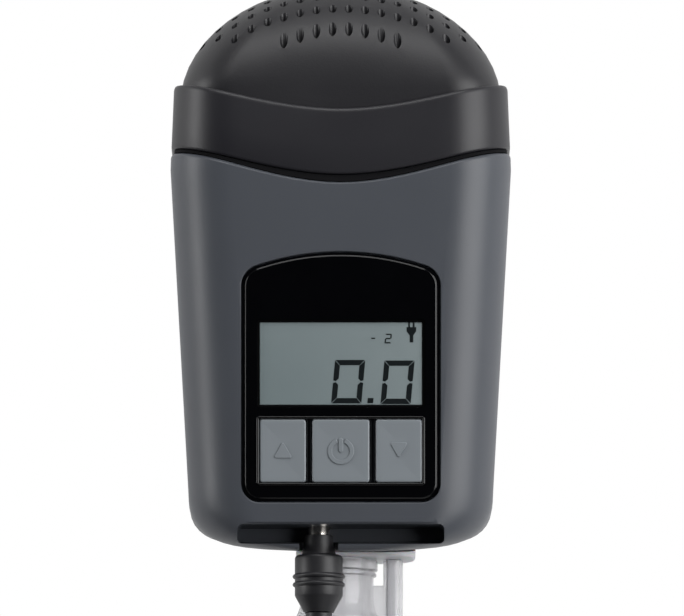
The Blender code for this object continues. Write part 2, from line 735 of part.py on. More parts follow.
def front_case():
    trough_floor = PLUG_HEIGHT - PLUG_NECK_RADIUS - GAP * 2
    trough_block = box(
        (-TROUGH_WIDTH / 2 - TROUGH_WALL, -OVERRUN, trough_floor - TROUGH_WALL),
        (TROUGH_WIDTH / 2 + TROUGH_WALL, TROUGH_HIGH_Y + TROUGH_WALL, FRONT_LOW + OVERRUN),
    )
    ledge_bottom = recess_floor - LEDGE_THICKNESS
    ledge = put(
        "ledge", plate(fascia_outline(LEDGE_MARGIN), ledge_bottom, -WALL / 2), parent=front_plane,
    )
    posts = cylinders(
        PILLAR_RADIUS, PARTING_HEIGHT - OVERRUN, FRONT_LOW + HOUSING_WIDTH / 4, case_screw_places, steps=SMALL_ROUND_STEPS)
    case = half_case(
        "front_case", PARTING_HEIGHT + GAP / 2, FRONT_LOW + HOUSING_WIDTH, posts,
        [put("trough_block", trough_block), ledge],
    )
    board_posts = cylinders(
        BOARD_POST_RADIUS, -BOARD_DROP + GAP, ledge_bottom + LEDGE_THICKNESS / 2, board_post_places, steps=SCREW_STEPS,
    )
    combine(case, put("board_posts", board_posts, parent=front_plane), "UNION")
    recess = put("fascia_recess", plate(fascia_outline(GAP), recess_floor, OVERRUN), parent=front_plane)
    combine(case, recess)
    opening = rounded_outline(
        (-fascia_width / 2 + LEDGE_WIDTH, key_middle_v - KEY_HEIGHT / 2 - KEY_FLANGE - GAP * 2),
        (fascia_width / 2 - LEDGE_WIDTH, window_middle_v + WINDOW_HEIGHT / 2 + LCD_MARGIN + GAP * 2),
        FASCIA_EDGE, 2,
    )
    combine(case, put("fascia_opening", plate(opening, ledge_bottom - OVERRUN, OVERRUN), parent=front_plane))
    rings = []
    for z in (trough_floor, FRONT_LOW + OVERRUN):
        low = (-TROUGH_WIDTH / 2, TROUGH_LOW_Y + (FRONT_LOW - z) * math.tan(END_SLOPE))
        rings.append([(x, y, z) for x, y in rounded_outline(low, (TROUGH_WIDTH / 2, TROUGH_HIGH_Y), TROUGH_END_CORNER, 3)])
    combine(case, put("trough", loft(rings)))
    notch = along_y(cylinders(NOTCH_WIDTH / 2, 0, TROUGH_LOW_Y + OVERRUN * 2, [(0, 0)]), PLUG_X, -OVERRUN, PLUG_HEIGHT)
    slot = box(
        (PLUG_X - NOTCH_WIDTH / 2, -OVERRUN, PLUG_HEIGHT), (PLUG_X + NOTCH_WIDTH / 2, TROUGH_LOW_Y + OVERRUN / 2, FRONT_LOW + OVERRUN),
    )
    combine(case, combine(put("notch_round", notch), put("notch_slot", slot), "UNION"))
    barrel_hole = cylinders(BARREL_RADIUS + GAP, 0, TROUGH_WALL + OVERRUN, [(0, 0)], steps=SMALL_ROUND_STEPS)
    combine(case, put("barrel_hole", along_y(barrel_hole, PLUG_X, TROUGH_HIGH_Y - OVERRUN / 2, PLUG_HEIGHT)))
    combine(case, put("pilot_holes", cylinders(
        CASE_SCREW_RADIUS + GAP, 0, PARTING_HEIGHT + PILOT_DEPTH, case_screw_places, steps=SCREW_STEPS)))
    combine(case, put("board_pilot_holes", cylinders(
        BOARD_SCREW_RADIUS + GAP, -BOARD_DROP - OVERRUN, -BOARD_DROP + BOARD_SCREW_LENGTH - GAP, board_post_places, steps=SCREW_STEPS),
        parent=front_plane))
    combine(case, port_cut("front"))


def rear_case():
    floor = BACK_HEIGHT + WALL
    posts = cylinders(PILLAR_RADIUS, BACK_HEIGHT, PARTING_HEIGHT, case_screw_places, steps=SMALL_ROUND_STEPS)
    ring_radius = MOTOR_RADIUS + GAP * 2 + MOUNT_WALL + MOUNT_WALL / 2
    ring = plate(arc(blower_x, BLOWER_Y, ring_radius, 0, 360, ROUND_STEPS)[:-1], BACK_HEIGHT, floor + MOUNT_WALL)
    case = half_case("rear_case", 0, PARTING_HEIGHT - GAP / 2, posts, [put("mount_seat", ring)])
    combine(case, put("mount_seat_hole", cylinders(
        ring_radius - MOUNT_WALL / 2 + GAP, floor, floor + MOUNT_WALL + OVERRUN, [(blower_x, BLOWER_Y)])))
    combine(case, put("head_holes", cylinders(
        CASE_SCREW_HEAD_RADIUS + GAP, -OVERRUN, CASE_SCREW_HEAD_FLOOR, case_screw_places, steps=SMALL_ROUND_STEPS)))
    combine(case, put("screw_holes", cylinders(
        CASE_SCREW_RADIUS + GAP, 0, PARTING_HEIGHT + OVERRUN, case_screw_places, steps=SCREW_STEPS)))
    combine(case, put("foot_recesses", cylinders(
        FOOT_RADIUS + GAP, -OVERRUN, BACK_HEIGHT + FOOT_RECESS, foot_places, steps=SMALL_ROUND_STEPS)))
    combine(case, port_cut("rear"))


# Blower

channel_half = CHANNEL_WIDTH / 2
turn_share = math.pi / SNAIL_SWEEP
side_room = inner_half_width(BLOWER_Y, BLOWER_LOW) - BLOWER_CLEARANCE
blower_x = (side_room - TONGUE_RADIUS * turn_share + (PORT_X - channel_half) * (1 - turn_share)) / (2 - turn_share)
snail_end = blower_x - PORT_X + channel_half
blower_places = [(blower_x, BLOWER_Y)]
blower_high = BLOWER_LOW + BLOWER_HEIGHT
blower_split = BLOWER_LOW + BLOWER_HEIGHT / 2
wheel_radius = TONGUE_RADIUS - BLOWER_WALL - WHEEL_CLEARANCE * 0.25
wheel_low = BLOWER_LOW + BLOWER_HEIGHT * WHEEL_HEIGHT_SHARE
motor_top = BLOWER_LOW + BLOWER_WALL + GAP + MOTOR_FLANGE_THICKNESS


def snail_outline(inset=0, reach=0):
    """The blower's outline: an outlet channel along Y, and a spiral round the wheel that shrinks to the tongue."""
    left = PORT_X - channel_half + inset
    right = PORT_X + channel_half - inset
    points = [(left, OUTLET_Y - reach)]
    for i in range(SNAIL_STEPS + 1):
        share = i / SNAIL_STEPS
        angle = math.pi - SNAIL_SWEEP * share
        radius = snail_end + (TONGUE_RADIUS - snail_end) * share - inset
        point = (blower_x + radius * math.cos(angle), BLOWER_Y + radius * math.sin(angle))
        if share < 0.8 or point[0] > right:
            points.append(point)
    drop = (TONGUE_RADIUS - inset) ** 2 - (blower_x - right) ** 2
    points.append((right, BLOWER_Y - math.sqrt(max(0, drop))))
    return points + [(right, OUTLET_Y - reach)]


def blower_case():
    base = put("blower_base", plate(snail_outline(), BLOWER_LOW, blower_split - GAP / 2), PLASTIC_BLACK)
    combine(base, put("base_hollow", plate(
        snail_outline(BLOWER_WALL, OVERRUN), BLOWER_LOW + BLOWER_WALL, blower_split + OVERRUN)))
    combine(base, put("motor_hole", cylinders(
        MOTOR_RADIUS + GAP, BLOWER_LOW - OVERRUN, blower_split, blower_places)))
    cover = put("blower_cover", plate(snail_outline(), blower_split + GAP / 2, blower_high), PLASTIC_BLACK)
    combine(cover, put("cover_hollow", plate(
        snail_outline(BLOWER_WALL, OVERRUN), blower_split - OVERRUN, blower_high - BLOWER_WALL)))
    combine(cover, put("inlet_lip", cylinders(
        INLET_RADIUS + INLET_LIP, blower_high - BLOWER_WALL / 2, blower_high + INLET_LIP_HEIGHT, blower_places,
        top_radius=INLET_RADIUS + INLET_LIP / 2)), "UNION")
    combine(cover, put("inlet_hole", cylinders(
        INLET_RADIUS, blower_split, blower_high + INLET_LIP_HEIGHT + OVERRUN, blower_places)))


def motor():
    """The motor's can hangs in the blower's base by its flange; the rotor runs in two bearings in can and cap."""
    seat = BLOWER_LOW + BLOWER_WALL + GAP
    bore = MOTOR_RADIUS - MOTOR_WALL
    pocket = BEARING_RADIUS + GAP
    floor = MOTOR_LOW + MOTOR_WALL
    place = (blower_x, BLOWER_Y, 0)
    rotor_place = (blower_x, BLOWER_Y, wheel_low)
    turned("motor_can", [
        (MOTOR_RADIUS + MOTOR_FLANGE, seat + MOTOR_FLANGE_THICKNESS), (MOTOR_RADIUS + MOTOR_FLANGE, seat),
        (MOTOR_RADIUS, seat), (MOTOR_RADIUS, MOTOR_LOW), (0, MOTOR_LOW), (0, floor), (pocket, floor),
        (pocket, floor + BEARING_HEIGHT), (pocket + MOTOR_WALL, floor + BEARING_HEIGHT), (pocket + MOTOR_WALL, floor),
        (bore, floor), (bore, seat + MOTOR_FLANGE_THICKNESS),
    ], STEEL, place, steps=SMALL_ROUND_STEPS)
    cap_low = motor_top + GAP
    cap_pocket = cap_low + MOTOR_WALL
    turned("motor_cap", [
        (pocket + MOTOR_WALL, cap_pocket + BEARING_HEIGHT), (pocket + MOTOR_WALL, cap_low + MOTOR_WALL),
        (MOTOR_RADIUS, cap_low + MOTOR_WALL), (MOTOR_RADIUS, cap_low), (SHAFT_RADIUS + GAP * 2, cap_low),
        (SHAFT_RADIUS + GAP * 2, cap_pocket), (pocket, cap_pocket), (pocket, cap_pocket + BEARING_HEIGHT),
    ], STEEL, place, steps=SMALL_ROUND_STEPS)
    for name, low in (("bearing_lower", floor + GAP), ("bearing_upper", cap_pocket + GAP)):
        high = low + BEARING_HEIGHT - GAP
        turned(name, [
            (BEARING_RADIUS, high), (BEARING_RADIUS, low), (BEARING_BORE_RADIUS, low), (BEARING_BORE_RADIUS, high),
        ], STEEL, place, steps=SMALL_ROUND_STEPS)
    stator_low = floor + BEARING_HEIGHT + GAP
    core = put("motor_stator", cylinders(
        bore - GAP, stator_low, stator_low + STATOR_HEIGHT, blower_places, SMALL_ROUND_STEPS), COPPER)
    slots = bmesh.new()
    pitch = math.tau / STATOR_TEETH
    slot_reach = bore - GAP - STATOR_RIM
    for i in range(STATOR_TEETH):
        side = STATOR_TOOTH_WIDTH / 2
        inner = MAGNET_RADIUS + GAP * 2 + STATOR_RIM
        start = math.asin(side / inner)
        end = math.asin(side / slot_reach)
        outline = [(inner * math.cos(start), inner * math.sin(start))]
        outline += [(slot_reach * math.cos(a), slot_reach * math.sin(a)) for a in
                    [end + (pitch - 2 * end) * k / 4 for k in range(5)]]
        outline += [(inner * math.cos(pitch - start), inner * math.sin(pitch - start))]
        wedge = plate(outline, stator_low - OVERRUN, stator_low + STATOR_HEIGHT + OVERRUN)
        matrix = Matrix.Translation((blower_x, BLOWER_Y, 0)) @ Matrix.Rotation(pitch * i, 4, "Z")
        bmesh.ops.transform(wedge, matrix=matrix, verts=wedge.verts)
        mesh = bpy.data.meshes.new("wedge")
        wedge.to_mesh(mesh)
        wedge.free()
        slots.from_mesh(mesh)
        bpy.data.meshes.remove(mesh)
    combine(core, put("stator_slots", slots))
    combine(core, put("stator_bore", cylinders(
        MAGNET_RADIUS + GAP, stator_low - OVERRUN, stator_low + STATOR_HEIGHT + OVERRUN, blower_places)))
    shaft_low = floor + GAP - wheel_low
    magnet_low = stator_low - wheel_low
    shaft_top = BLADE_HEIGHT
    turned("rotor_shaft", [
        (0, shaft_top), (SHAFT_RADIUS, shaft_top), (SHAFT_RADIUS, magnet_low + MAGNET_HEIGHT),
        (MAGNET_RADIUS, magnet_low + MAGNET_HEIGHT), (MAGNET_RADIUS, magnet_low), (SHAFT_RADIUS, magnet_low),
        (SHAFT_RADIUS, shaft_low), (0, shaft_low),
    ], STEEL, rotor_place, steps=SMALL_ROUND_STEPS)
    mount_low = BACK_HEIGHT + WALL + GAP
    mount_high = BLOWER_LOW - GAP
    inner = MOTOR_RADIUS + GAP * 2
    turned("blower_mount", [
        (inner + MOUNT_WALL, mount_high), (inner + MOUNT_WALL / 2, (mount_low + mount_high) / 2),
        (inner + MOUNT_WALL, mount_low), (inner, mount_low), (inner, mount_high),
    ], SILICONE, place)


def impeller():
    """A wheel with backward curved blades that are taller at the eye than at the tip."""
    place = (blower_x, BLOWER_Y, wheel_low)
    wheel = turned("impeller", [
        (WHEEL_BOSS_RADIUS, BLADE_HEIGHT), (WHEEL_BOSS_RADIUS, WHEEL_DISC), (wheel_radius, WHEEL_DISC),
        (wheel_radius, 0), (SHAFT_RADIUS + GAP, 0), (SHAFT_RADIUS + GAP, BLADE_HEIGHT),
    ], PLASTIC_WHITE, place)
    root = wheel_radius * BLADE_ROOT_SHARE
    blades = bmesh.new()
    for i in range(WHEEL_BLADES):
        rings = []
        for k in range(BLADE_STEPS + 1):
            share = k / BLADE_STEPS
            radius = root + (wheel_radius - root) * share
            angle = math.tau * i / WHEEL_BLADES + BLADE_SWEEP * share**1.3
            height = BLADE_HEIGHT + (BLADE_TIP_HEIGHT - BLADE_HEIGHT) * share
            half = BLADE_THICKNESS / 2 / radius
            rings.append([
                (radius * math.cos(angle + side * half), radius * math.sin(angle + side * half), z)
                for side, z in ((-1, WHEEL_DISC / 2), (1, WHEEL_DISC / 2), (1, height), (-1, height))
            ])
        blade = loft(rings)
        mesh = bpy.data.meshes.new("blade")
        blade.to_mesh(mesh)
        blade.free()
        blades.from_mesh(mesh)
        bpy.data.meshes.remove(mesh)
    combine(wheel, put("blades", blades, place=place), "UNION")


# Air path from the blower to the hose

def resampled(outline, count):
    """A closed outline's points spread evenly round it, starting on the +X side of its middle."""
    middle = (Vector(min(outline)) + Vector(max(outline))) / 2
    points = [Vector(p) for p in outline]
    start = max(range(len(points)), key=lambda i: math.cos(math.atan2(points[i].y - middle.y, points[i].x - middle.x)))
    points = points[start:] + points[:start + 1]
    lengths = [0.0]
    for a, b in zip(points, points[1:]):
        lengths.append(lengths[-1] + (b - a).length)
    found = []
    for i in range(count):
        target = lengths[-1] * i / count
        k = max(j for j, length in enumerate(lengths[:-1]) if length <= target)
        span = lengths[k + 1] - lengths[k]
        found.append(points[k].lerp(points[k + 1], (target - lengths[k]) / span if span else 0))
    return found


def outlet_duct():
    """A soft duct that goes from the blower's rectangular outlet to the round hose socket."""
    start = OUTLET_Y - GAP
    end = SOCKET_START_Y + SOCKET_LENGTH + GAP
    rings = []
    for inset in (0, DUCT_WALL):
        half = channel_half - inset
        rise = BLOWER_HEIGHT / 2 - inset
        corner = BLOWER_WALL
        square = resampled(rounded_outline((-half, -rise), (half, rise), corner, 3), ROUND_STEPS)
        round_end = [
            Vector((math.cos(math.tau * i / ROUND_STEPS), math.sin(math.tau * i / ROUND_STEPS))) * (socket_radius - inset)
            for i in range(ROUND_STEPS)
        ]
        skin = []
        for k in range(DUCT_RINGS + 1):
            share = k / DUCT_RINGS
            blend = share * share * (3 - 2 * share)
            y = start + (end - start) * share
            middle = blower_split + (PORT_HEIGHT - blower_split) * blend
            skin.append([
                (PORT_X + point.x, y, middle + point.y)
                for point in (a.lerp(b, blend) for a, b in zip(square, round_end))
            ])
        rings += skin if not inset else skin[::-1]
    put("outlet_duct", loft(rings, closed=True), SILICONE)


def port_block():
    """The fixed socket behind the lower end wall: hose socket, sensing socket and the flange that joins them."""
    block = put("port_block", along_y(
        cylinders(socket_radius, 0, SOCKET_LENGTH, [(0, 0)]), PORT_X, SOCKET_START_Y, PORT_HEIGHT), PLASTIC_BLACK)
    sense = along_y(cylinders(sense_socket_radius, 0, SENSE_SOCKET_LENGTH + GAP, [(0, 0)], steps=SMALL_ROUND_STEPS), sense_x, SOCKET_START_Y + GAP, PORT_HEIGHT)
    combine(block, put("sense_socket", sense), "UNION")
    margin = PORT_FLANGE_MARGIN
    flange = box(
        (PORT_X - socket_radius - margin, PORT_FLANGE_Y + GAP, PORT_HEIGHT - socket_radius + margin),
        (sense_x + sense_socket_radius + margin, PORT_FLANGE_Y + GAP + PORT_FLANGE_THICKNESS, PORT_HEIGHT + socket_radius - margin),
    )
    combine(block, put("port_flange", flange), "UNION")
    bore = along_y(cylinders(socket_bore, 0, SOCKET_LENGTH + OVERRUN * 2, [(0, 0)]), PORT_X, SOCKET_START_Y - OVERRUN, PORT_HEIGHT)
    combine(block, put("socket_bore", bore))
    groove = along_y(
        cylinders(socket_bore + SEAL_DEPTH, 0, SEAL_HEIGHT + GAP * 2, [(0, 0)]), PORT_X, SEAL_Y - GAP, PORT_HEIGHT)
    combine(block, put("seal_groove", groove))
    sense_bore = along_y(
        cylinders(SENSE_SPIGOT_RADIUS + GAP, 0, SENSE_SOCKET_LENGTH + OVERRUN * 2, [(0, 0)], steps=SMALL_ROUND_STEPS),
        sense_x, SOCKET_START_Y - OVERRUN, PORT_HEIGHT)
    combine(block, put("sense_socket_bore", sense_bore))
    turned("port_seal", [
        (socket_bore + SEAL_DEPTH - GAP, SEAL_HEIGHT), (socket_bore + SEAL_DEPTH - GAP, 0),
        (socket_bore, 0), (SPIGOT_RADIUS + GAP, SEAL_HEIGHT / 2), (socket_bore, SEAL_HEIGHT),
    ], SILICONE, (PORT_X, SEAL_Y, PORT_HEIGHT), (-math.pi / 2, 0, 0))


def hose_adapter():
    """The clear adapter: a spigot that goes into the housing, a lip, a neck, a cone for the hose, and a sensing tube."""
    lip = COLLAR_FACE_Y - GAP
    ring = lip - LIP_LENGTH - NECK_GROOVE
    neck = ring - RING_LENGTH
    flare = neck - NECK_LENGTH
    cone = flare - CONE_FLARE_LENGTH
    tip = -ADAPTER_LENGTH
    profile = [
        (SPIGOT_BORE_RADIUS, SPIGOT_LENGTH), (SPIGOT_RADIUS - GAP, SPIGOT_LENGTH), (SPIGOT_RADIUS, SPIGOT_LENGTH - GAP * 2),
        (SPIGOT_RADIUS, lip), (LIP_RADIUS, lip), (LIP_RADIUS, lip - LIP_LENGTH), (NECK_RADIUS, lip - LIP_LENGTH),
        (NECK_RADIUS, ring), (RING_RADIUS, ring), (RING_RADIUS, neck), (NECK_RADIUS, neck), (NECK_RADIUS, flare),
        (CONE_ROOT_RADIUS, cone), (CONE_RADIUS, tip), (CONE_BORE_RADIUS, tip), (CONE_BORE_RADIUS - CONE_RADIUS + CONE_ROOT_RADIUS, cone),
        (SPIGOT_BORE_RADIUS, flare),
    ]
    adapter = turned("hose_adapter", profile, CLEAR, (PORT_X, 0, PORT_HEIGHT), (-math.pi / 2, 0, 0))
    sense = along_y(cylinders(SENSE_RADIUS, tip, lip, [(0, 0)], steps=SMALL_ROUND_STEPS), sense_x, 0, PORT_HEIGHT)
    spigot_top = SENSE_SPIGOT_LENGTH
    spigot = along_y(cylinders(SENSE_SPIGOT_RADIUS, lip - OVERRUN, spigot_top, [(0, 0)], steps=SMALL_ROUND_STEPS), sense_x, 0, PORT_HEIGHT)
    web = box(
        (PORT_X + NECK_RADIUS - WEB_THICKNESS / 2, tip + GAP, PORT_HEIGHT - WEB_THICKNESS / 2),
        (sense_x - SENSE_RADIUS / 2, WEB_START_Y, PORT_HEIGHT + WEB_THICKNESS / 2),
    )
    combine(adapter, put("sense_tube", sense), "UNION")
    combine(adapter, put("sense_spigot", spigot), "UNION")
    combine(adapter, put("adapter_web", web), "UNION")
    main_bore = [
        (0, SPIGOT_LENGTH + OVERRUN), (SPIGOT_BORE_RADIUS, SPIGOT_LENGTH + OVERRUN), (SPIGOT_BORE_RADIUS, flare),
        (CONE_BORE_RADIUS - CONE_RADIUS + CONE_ROOT_RADIUS, cone), (CONE_BORE_RADIUS, tip), (CONE_BORE_RADIUS, tip - OVERRUN), (0, tip - OVERRUN),
    ]
    combine(adapter, turned("adapter_bore", main_bore, None, (PORT_X, 0, PORT_HEIGHT), (-math.pi / 2, 0, 0)))
    sense_bore = along_y(cylinders(SENSE_BORE_RADIUS, tip - OVERRUN, spigot_top + OVERRUN, [(0, 0)], steps=SMALL_ROUND_STEPS), sense_x, 0, PORT_HEIGHT)
    combine(adapter, put("sense_bore", sense_bore))


def adapter_collar():
    """A soft grey collar round the adapter's two tubes, cut parallel to the end wall that it seats on."""
    half = COLLAR_WIDTH / 2
    rise = COLLAR_DEPTH / 2
    outline = rounded_outline(
        (COLLAR_MIDDLE_X - half, PORT_HEIGHT - rise), (COLLAR_MIDDLE_X + half, PORT_HEIGHT + rise), COLLAR_CORNER)
    back = end_wall_y(PORT_HEIGHT - rise) + OVERRUN
    drawn = [
        (COLLAR_MIDDLE_X + (x - COLLAR_MIDDLE_X) * (1 - COLLAR_EDGE / half), PORT_HEIGHT + (z - PORT_HEIGHT) * (1 - COLLAR_EDGE / rise))
        for x, z in outline
    ]
    rings = [
        [(x, COLLAR_FACE_Y, z) for x, z in drawn],
        [(x, COLLAR_FACE_Y + COLLAR_EDGE, z) for x, z in outline],
        [(x, back, z) for x, z in outline],
    ]
    collar = put("adapter_collar", loft(rings), COLLAR_GREY)
    reach = HOUSING_WIDTH
    wall = box((-reach, 0, -reach), (reach, reach, reach))
    bmesh.ops.transform(wall, matrix=Matrix.Rotation(END_SLOPE, 4, "X"), verts=wall.verts)
    combine(collar, put("end_wall_plane", wall, place=(0, end_wall_y(0) - GAP * 2, 0)))
    combine(collar, put("collar_bore", along_y(
        cylinders(SPIGOT_RADIUS + GAP, COLLAR_FACE_Y - OVERRUN, back + OVERRUN, [(0, 0)]), PORT_X, 0, PORT_HEIGHT)))
    combine(collar, put("collar_sense_bore", along_y(
        cylinders(SENSE_SPIGOT_RADIUS + GAP, COLLAR_FACE_Y - OVERRUN, back + OVERRUN, [(0, 0)], steps=SMALL_ROUND_STEPS), sense_x, 0, PORT_HEIGHT)))


def sensing_line():
    """A thin hose from the sensing socket to the pressure sensor under the board."""
    board_bottom = -BOARD_DROP - BOARD_THICKNESS
    body = box(
        (sense_x - SENSOR_SIZE / 2, SENSOR_V - SENSOR_SIZE / 2, board_bottom - GAP - SENSOR_HEIGHT),
        (sense_x + SENSOR_SIZE / 2, SENSOR_V + SENSOR_SIZE / 2, board_bottom - GAP),
    )
    sensor = put("pressure_sensor", body, PLASTIC_BLACK, parent=front_plane)
    nipple_low = board_bottom - GAP - SENSOR_HEIGHT - SENSOR_NIPPLE_LENGTH
    nipple = cylinders(SENSOR_NIPPLE_RADIUS, nipple_low, nipple_low + SENSOR_NIPPLE_LENGTH + GAP, [(sense_x, SENSOR_V)], steps=SMALL_ROUND_STEPS)
    combine(sensor, put("sensor_nipple", nipple, parent=front_plane), "UNION")
    start = Vector((sense_x, SOCKET_START_Y + SENSE_SOCKET_LENGTH + GAP * 3, PORT_HEIGHT))
    slope = math.tan(FRONT_SLOPE)
    end_y = SENSOR_V * math.cos(FRONT_SLOPE) - nipple_low * math.sin(FRONT_SLOPE)
    end = Vector((sense_x, end_y, FRONT_LOW + SENSOR_V * math.sin(FRONT_SLOPE) + nipple_low * math.cos(FRONT_SLOPE) - GAP))
    reach = (end.y - start.y)
    first = start + Vector((0, reach, 0))
    second = end - Vector((0, -slope * (end.z - start.z) / 2, (end.z - start.z) / 2))
    points = []
    for i in range(13):
        t = i / 12
        points.append(
            start * (1 - t) ** 3 + first * 3 * t * (1 - t) ** 2 + second * 3 * t * t * (1 - t) + end * t**3)
    put("sensor_hose", tube(points, LINE_RADIUS, 1), SILICONE)


# Power jack, plug and lead

def power_jack():
    y = TROUGH_HIGH_Y + TROUGH_WALL + GAP
    half = JACK_WIDTH / 2
    rise = JACK_HEIGHT / 2
    jack = put("power_jack", box((PLUG_X - half, y, PLUG_HEIGHT - rise), (PLUG_X + half, y + JACK_LENGTH, PLUG_HEIGHT + rise)), PLASTIC_BLACK)
    bore_depth = JACK_LENGTH - JACK_WALL
    bore = cylinders(BARREL_RADIUS + GAP, -OVERRUN, bore_depth, [(0, 0)], steps=SMALL_ROUND_STEPS)
    combine(jack, put("jack_bore", along_y(bore, PLUG_X, y, PLUG_HEIGHT)))
    pin = cylinders(JACK_PIN_RADIUS, GAP * 2, bore_depth + JACK_WALL / 2, [(0, 0)], steps=SMALL_ROUND_STEPS)
    combine(jack, put("jack_pin", along_y(pin, PLUG_X, y, PLUG_HEIGHT)), "UNION")


def power_plug():
    """The moulded plug; its profile runs from the neck's face down to the strain relief."""
    down = (-math.pi / 2, 0, 0)
    place = (PLUG_X, 0, PLUG_HEIGHT)
    face = -GAP
    neck_top = PLUG_NECK_LENGTH - GAP
    body_end = face - PLUG_BODY_LENGTH
    taper_end = body_end - PLUG_TAPER_LENGTH
    profile = [
        (BARREL_RADIUS + GAP, neck_top), (PLUG_NECK_RADIUS, neck_top), (PLUG_NECK_RADIUS, face),
        (PLUG_BODY_RADIUS - PLUG_BODY_EDGE, face), (PLUG_BODY_RADIUS, face - PLUG_BODY_EDGE),
    ]
    for i in range(2):
        rib = face - PLUG_BODY_LENGTH * PLUG_RIB_SHARE - i * PLUG_RIB_SPACING
        profile += [
            (PLUG_BODY_RADIUS, rib), (PLUG_BODY_RADIUS + PLUG_RIB_HEIGHT, rib - PLUG_RIB_WIDTH / 3),
            (PLUG_BODY_RADIUS + PLUG_RIB_HEIGHT, rib - PLUG_RIB_WIDTH * 2 / 3), (PLUG_BODY_RADIUS, rib - PLUG_RIB_WIDTH),
        ]
    profile += [
        (PLUG_BODY_RADIUS, body_end), (PLUG_TAPER_RADIUS, taper_end), (0, taper_end), (0, neck_top - BARREL_SEATED),
        (BARREL_RADIUS + GAP, neck_top - BARREL_SEATED),
    ]
    turned("plug_body", profile, RUBBER, place, down, steps=MIDDLE_ROUND_STEPS)
    low = neck_top - BARREL_SEATED + GAP
    high = low + BARREL_LENGTH + BARREL_SEATED - GAP
    turned("plug_barrel", [
        (BARREL_RADIUS, high - GAP), (BARREL_RADIUS, low), (BARREL_BORE_RADIUS, low), (BARREL_BORE_RADIUS, high),
        (BARREL_RADIUS - GAP, high),
    ], STEEL, place, down, steps=SMALL_ROUND_STEPS)
    relief_top = taper_end - GAP
    profile = [(0, relief_top)]
    pitch = RELIEF_LENGTH / (RELIEF_RIBS * 2)
    for i in range(RELIEF_RIBS * 2 + 1):
        y = relief_top - pitch * i
        radius = RELIEF_ROOT_RADIUS + (RELIEF_TIP_RADIUS - RELIEF_ROOT_RADIUS) * i / (RELIEF_RIBS * 2)
        groove = radius - RELIEF_GROOVE_DEPTH
        if i % 2:
            profile += [(radius, y), (groove, y)]
        else:
            profile += [(groove, y), (radius, y)] if i else [(radius, y)]
    profile[-1] = (RELIEF_TIP_RADIUS - RELIEF_GROOVE_DEPTH / 2, profile[-1][1])
    profile.append((0, relief_top - RELIEF_LENGTH))
    turned("plug_relief", profile, RUBBER, place, down, steps=SMALL_ROUND_STEPS)


def smooth_route(points, spacing):
    """Points a spacing apart on a smooth curve through a route's points."""
    points = [Vector(p) for p in points]
    ends = [points[0] * 2 - points[1], *points, points[-1] * 2 - points[-2]]
    fine = []
    for a, b, c, d in zip(ends, ends[1:], ends[2:], ends[3:]):
        for k in range(20):
            t = k / 20
            fine.append((b * 2 + (c - a) * t + (a * 2 - b * 5 + c * 4 - d) * t * t + (b * 3 - a - c * 3 + d) * t**3) / 2)
    fine.append(points[-1])
    found, travelled = [fine[0]], 0
    for a, b in zip(fine, fine[1:]):
        travelled += (b - a).length
        if travelled >= spacing:
            found.append(b)
            travelled = 0
    if (found[-1] - fine[-1]).length < spacing / 2:
        found.pop()
    return found + [fine[-1]]


def coil_points():
    """The coil's middle line: in along the table, up a layer where it turns back, and out again on top."""
    entry = Vector(CORD_ROUTE[-1])
    middle = Vector((entry.x - COIL_OUTER_RADIUS, entry.y - GAP * 2, entry.z))
    inner = COIL_OUTER_RADIUS - COIL_PITCH * COIL_TURNS
    points = [middle + Vector((COIL_OUTER_RADIUS, CORD_DIAMETER / 2, 0))]
    total = COIL_TURNS * 2 * COIL_POINTS + COIL_POINTS // 2
    half_turn = COIL_POINTS // 2
    for i in range(total + 1):
        angle = -math.tau * i / COIL_POINTS
        if i <= COIL_TURNS * COIL_POINTS:
            radius, rise = COIL_OUTER_RADIUS - COIL_PITCH * i / COIL_POINTS, 0
        elif i <= COIL_TURNS * COIL_POINTS + half_turn:
            share = (i - COIL_TURNS * COIL_POINTS) / half_turn
            radius, rise = inner - COIL_TUCK * math.sin(math.pi * share), share * share * (3 - 2 * share)
        else:
            radius, rise = inner + COIL_PITCH * (i - COIL_TURNS * COIL_POINTS - half_turn) / COIL_POINTS, 1
        points.append(middle + Vector((radius * math.cos(angle), radius * math.sin(angle), rise * COIL_PITCH)))
    end = points[-1]
    for i in range(1, 6):
        share = i / 5
        drop = min(1, share * 1.25)
        blend = drop * drop * (3 - 2 * drop)
        points.append(Vector((end.x, end.y + COIL_TAIL * share, end.z + (COIL_END_HEIGHT - end.z) * blend)))
    return points


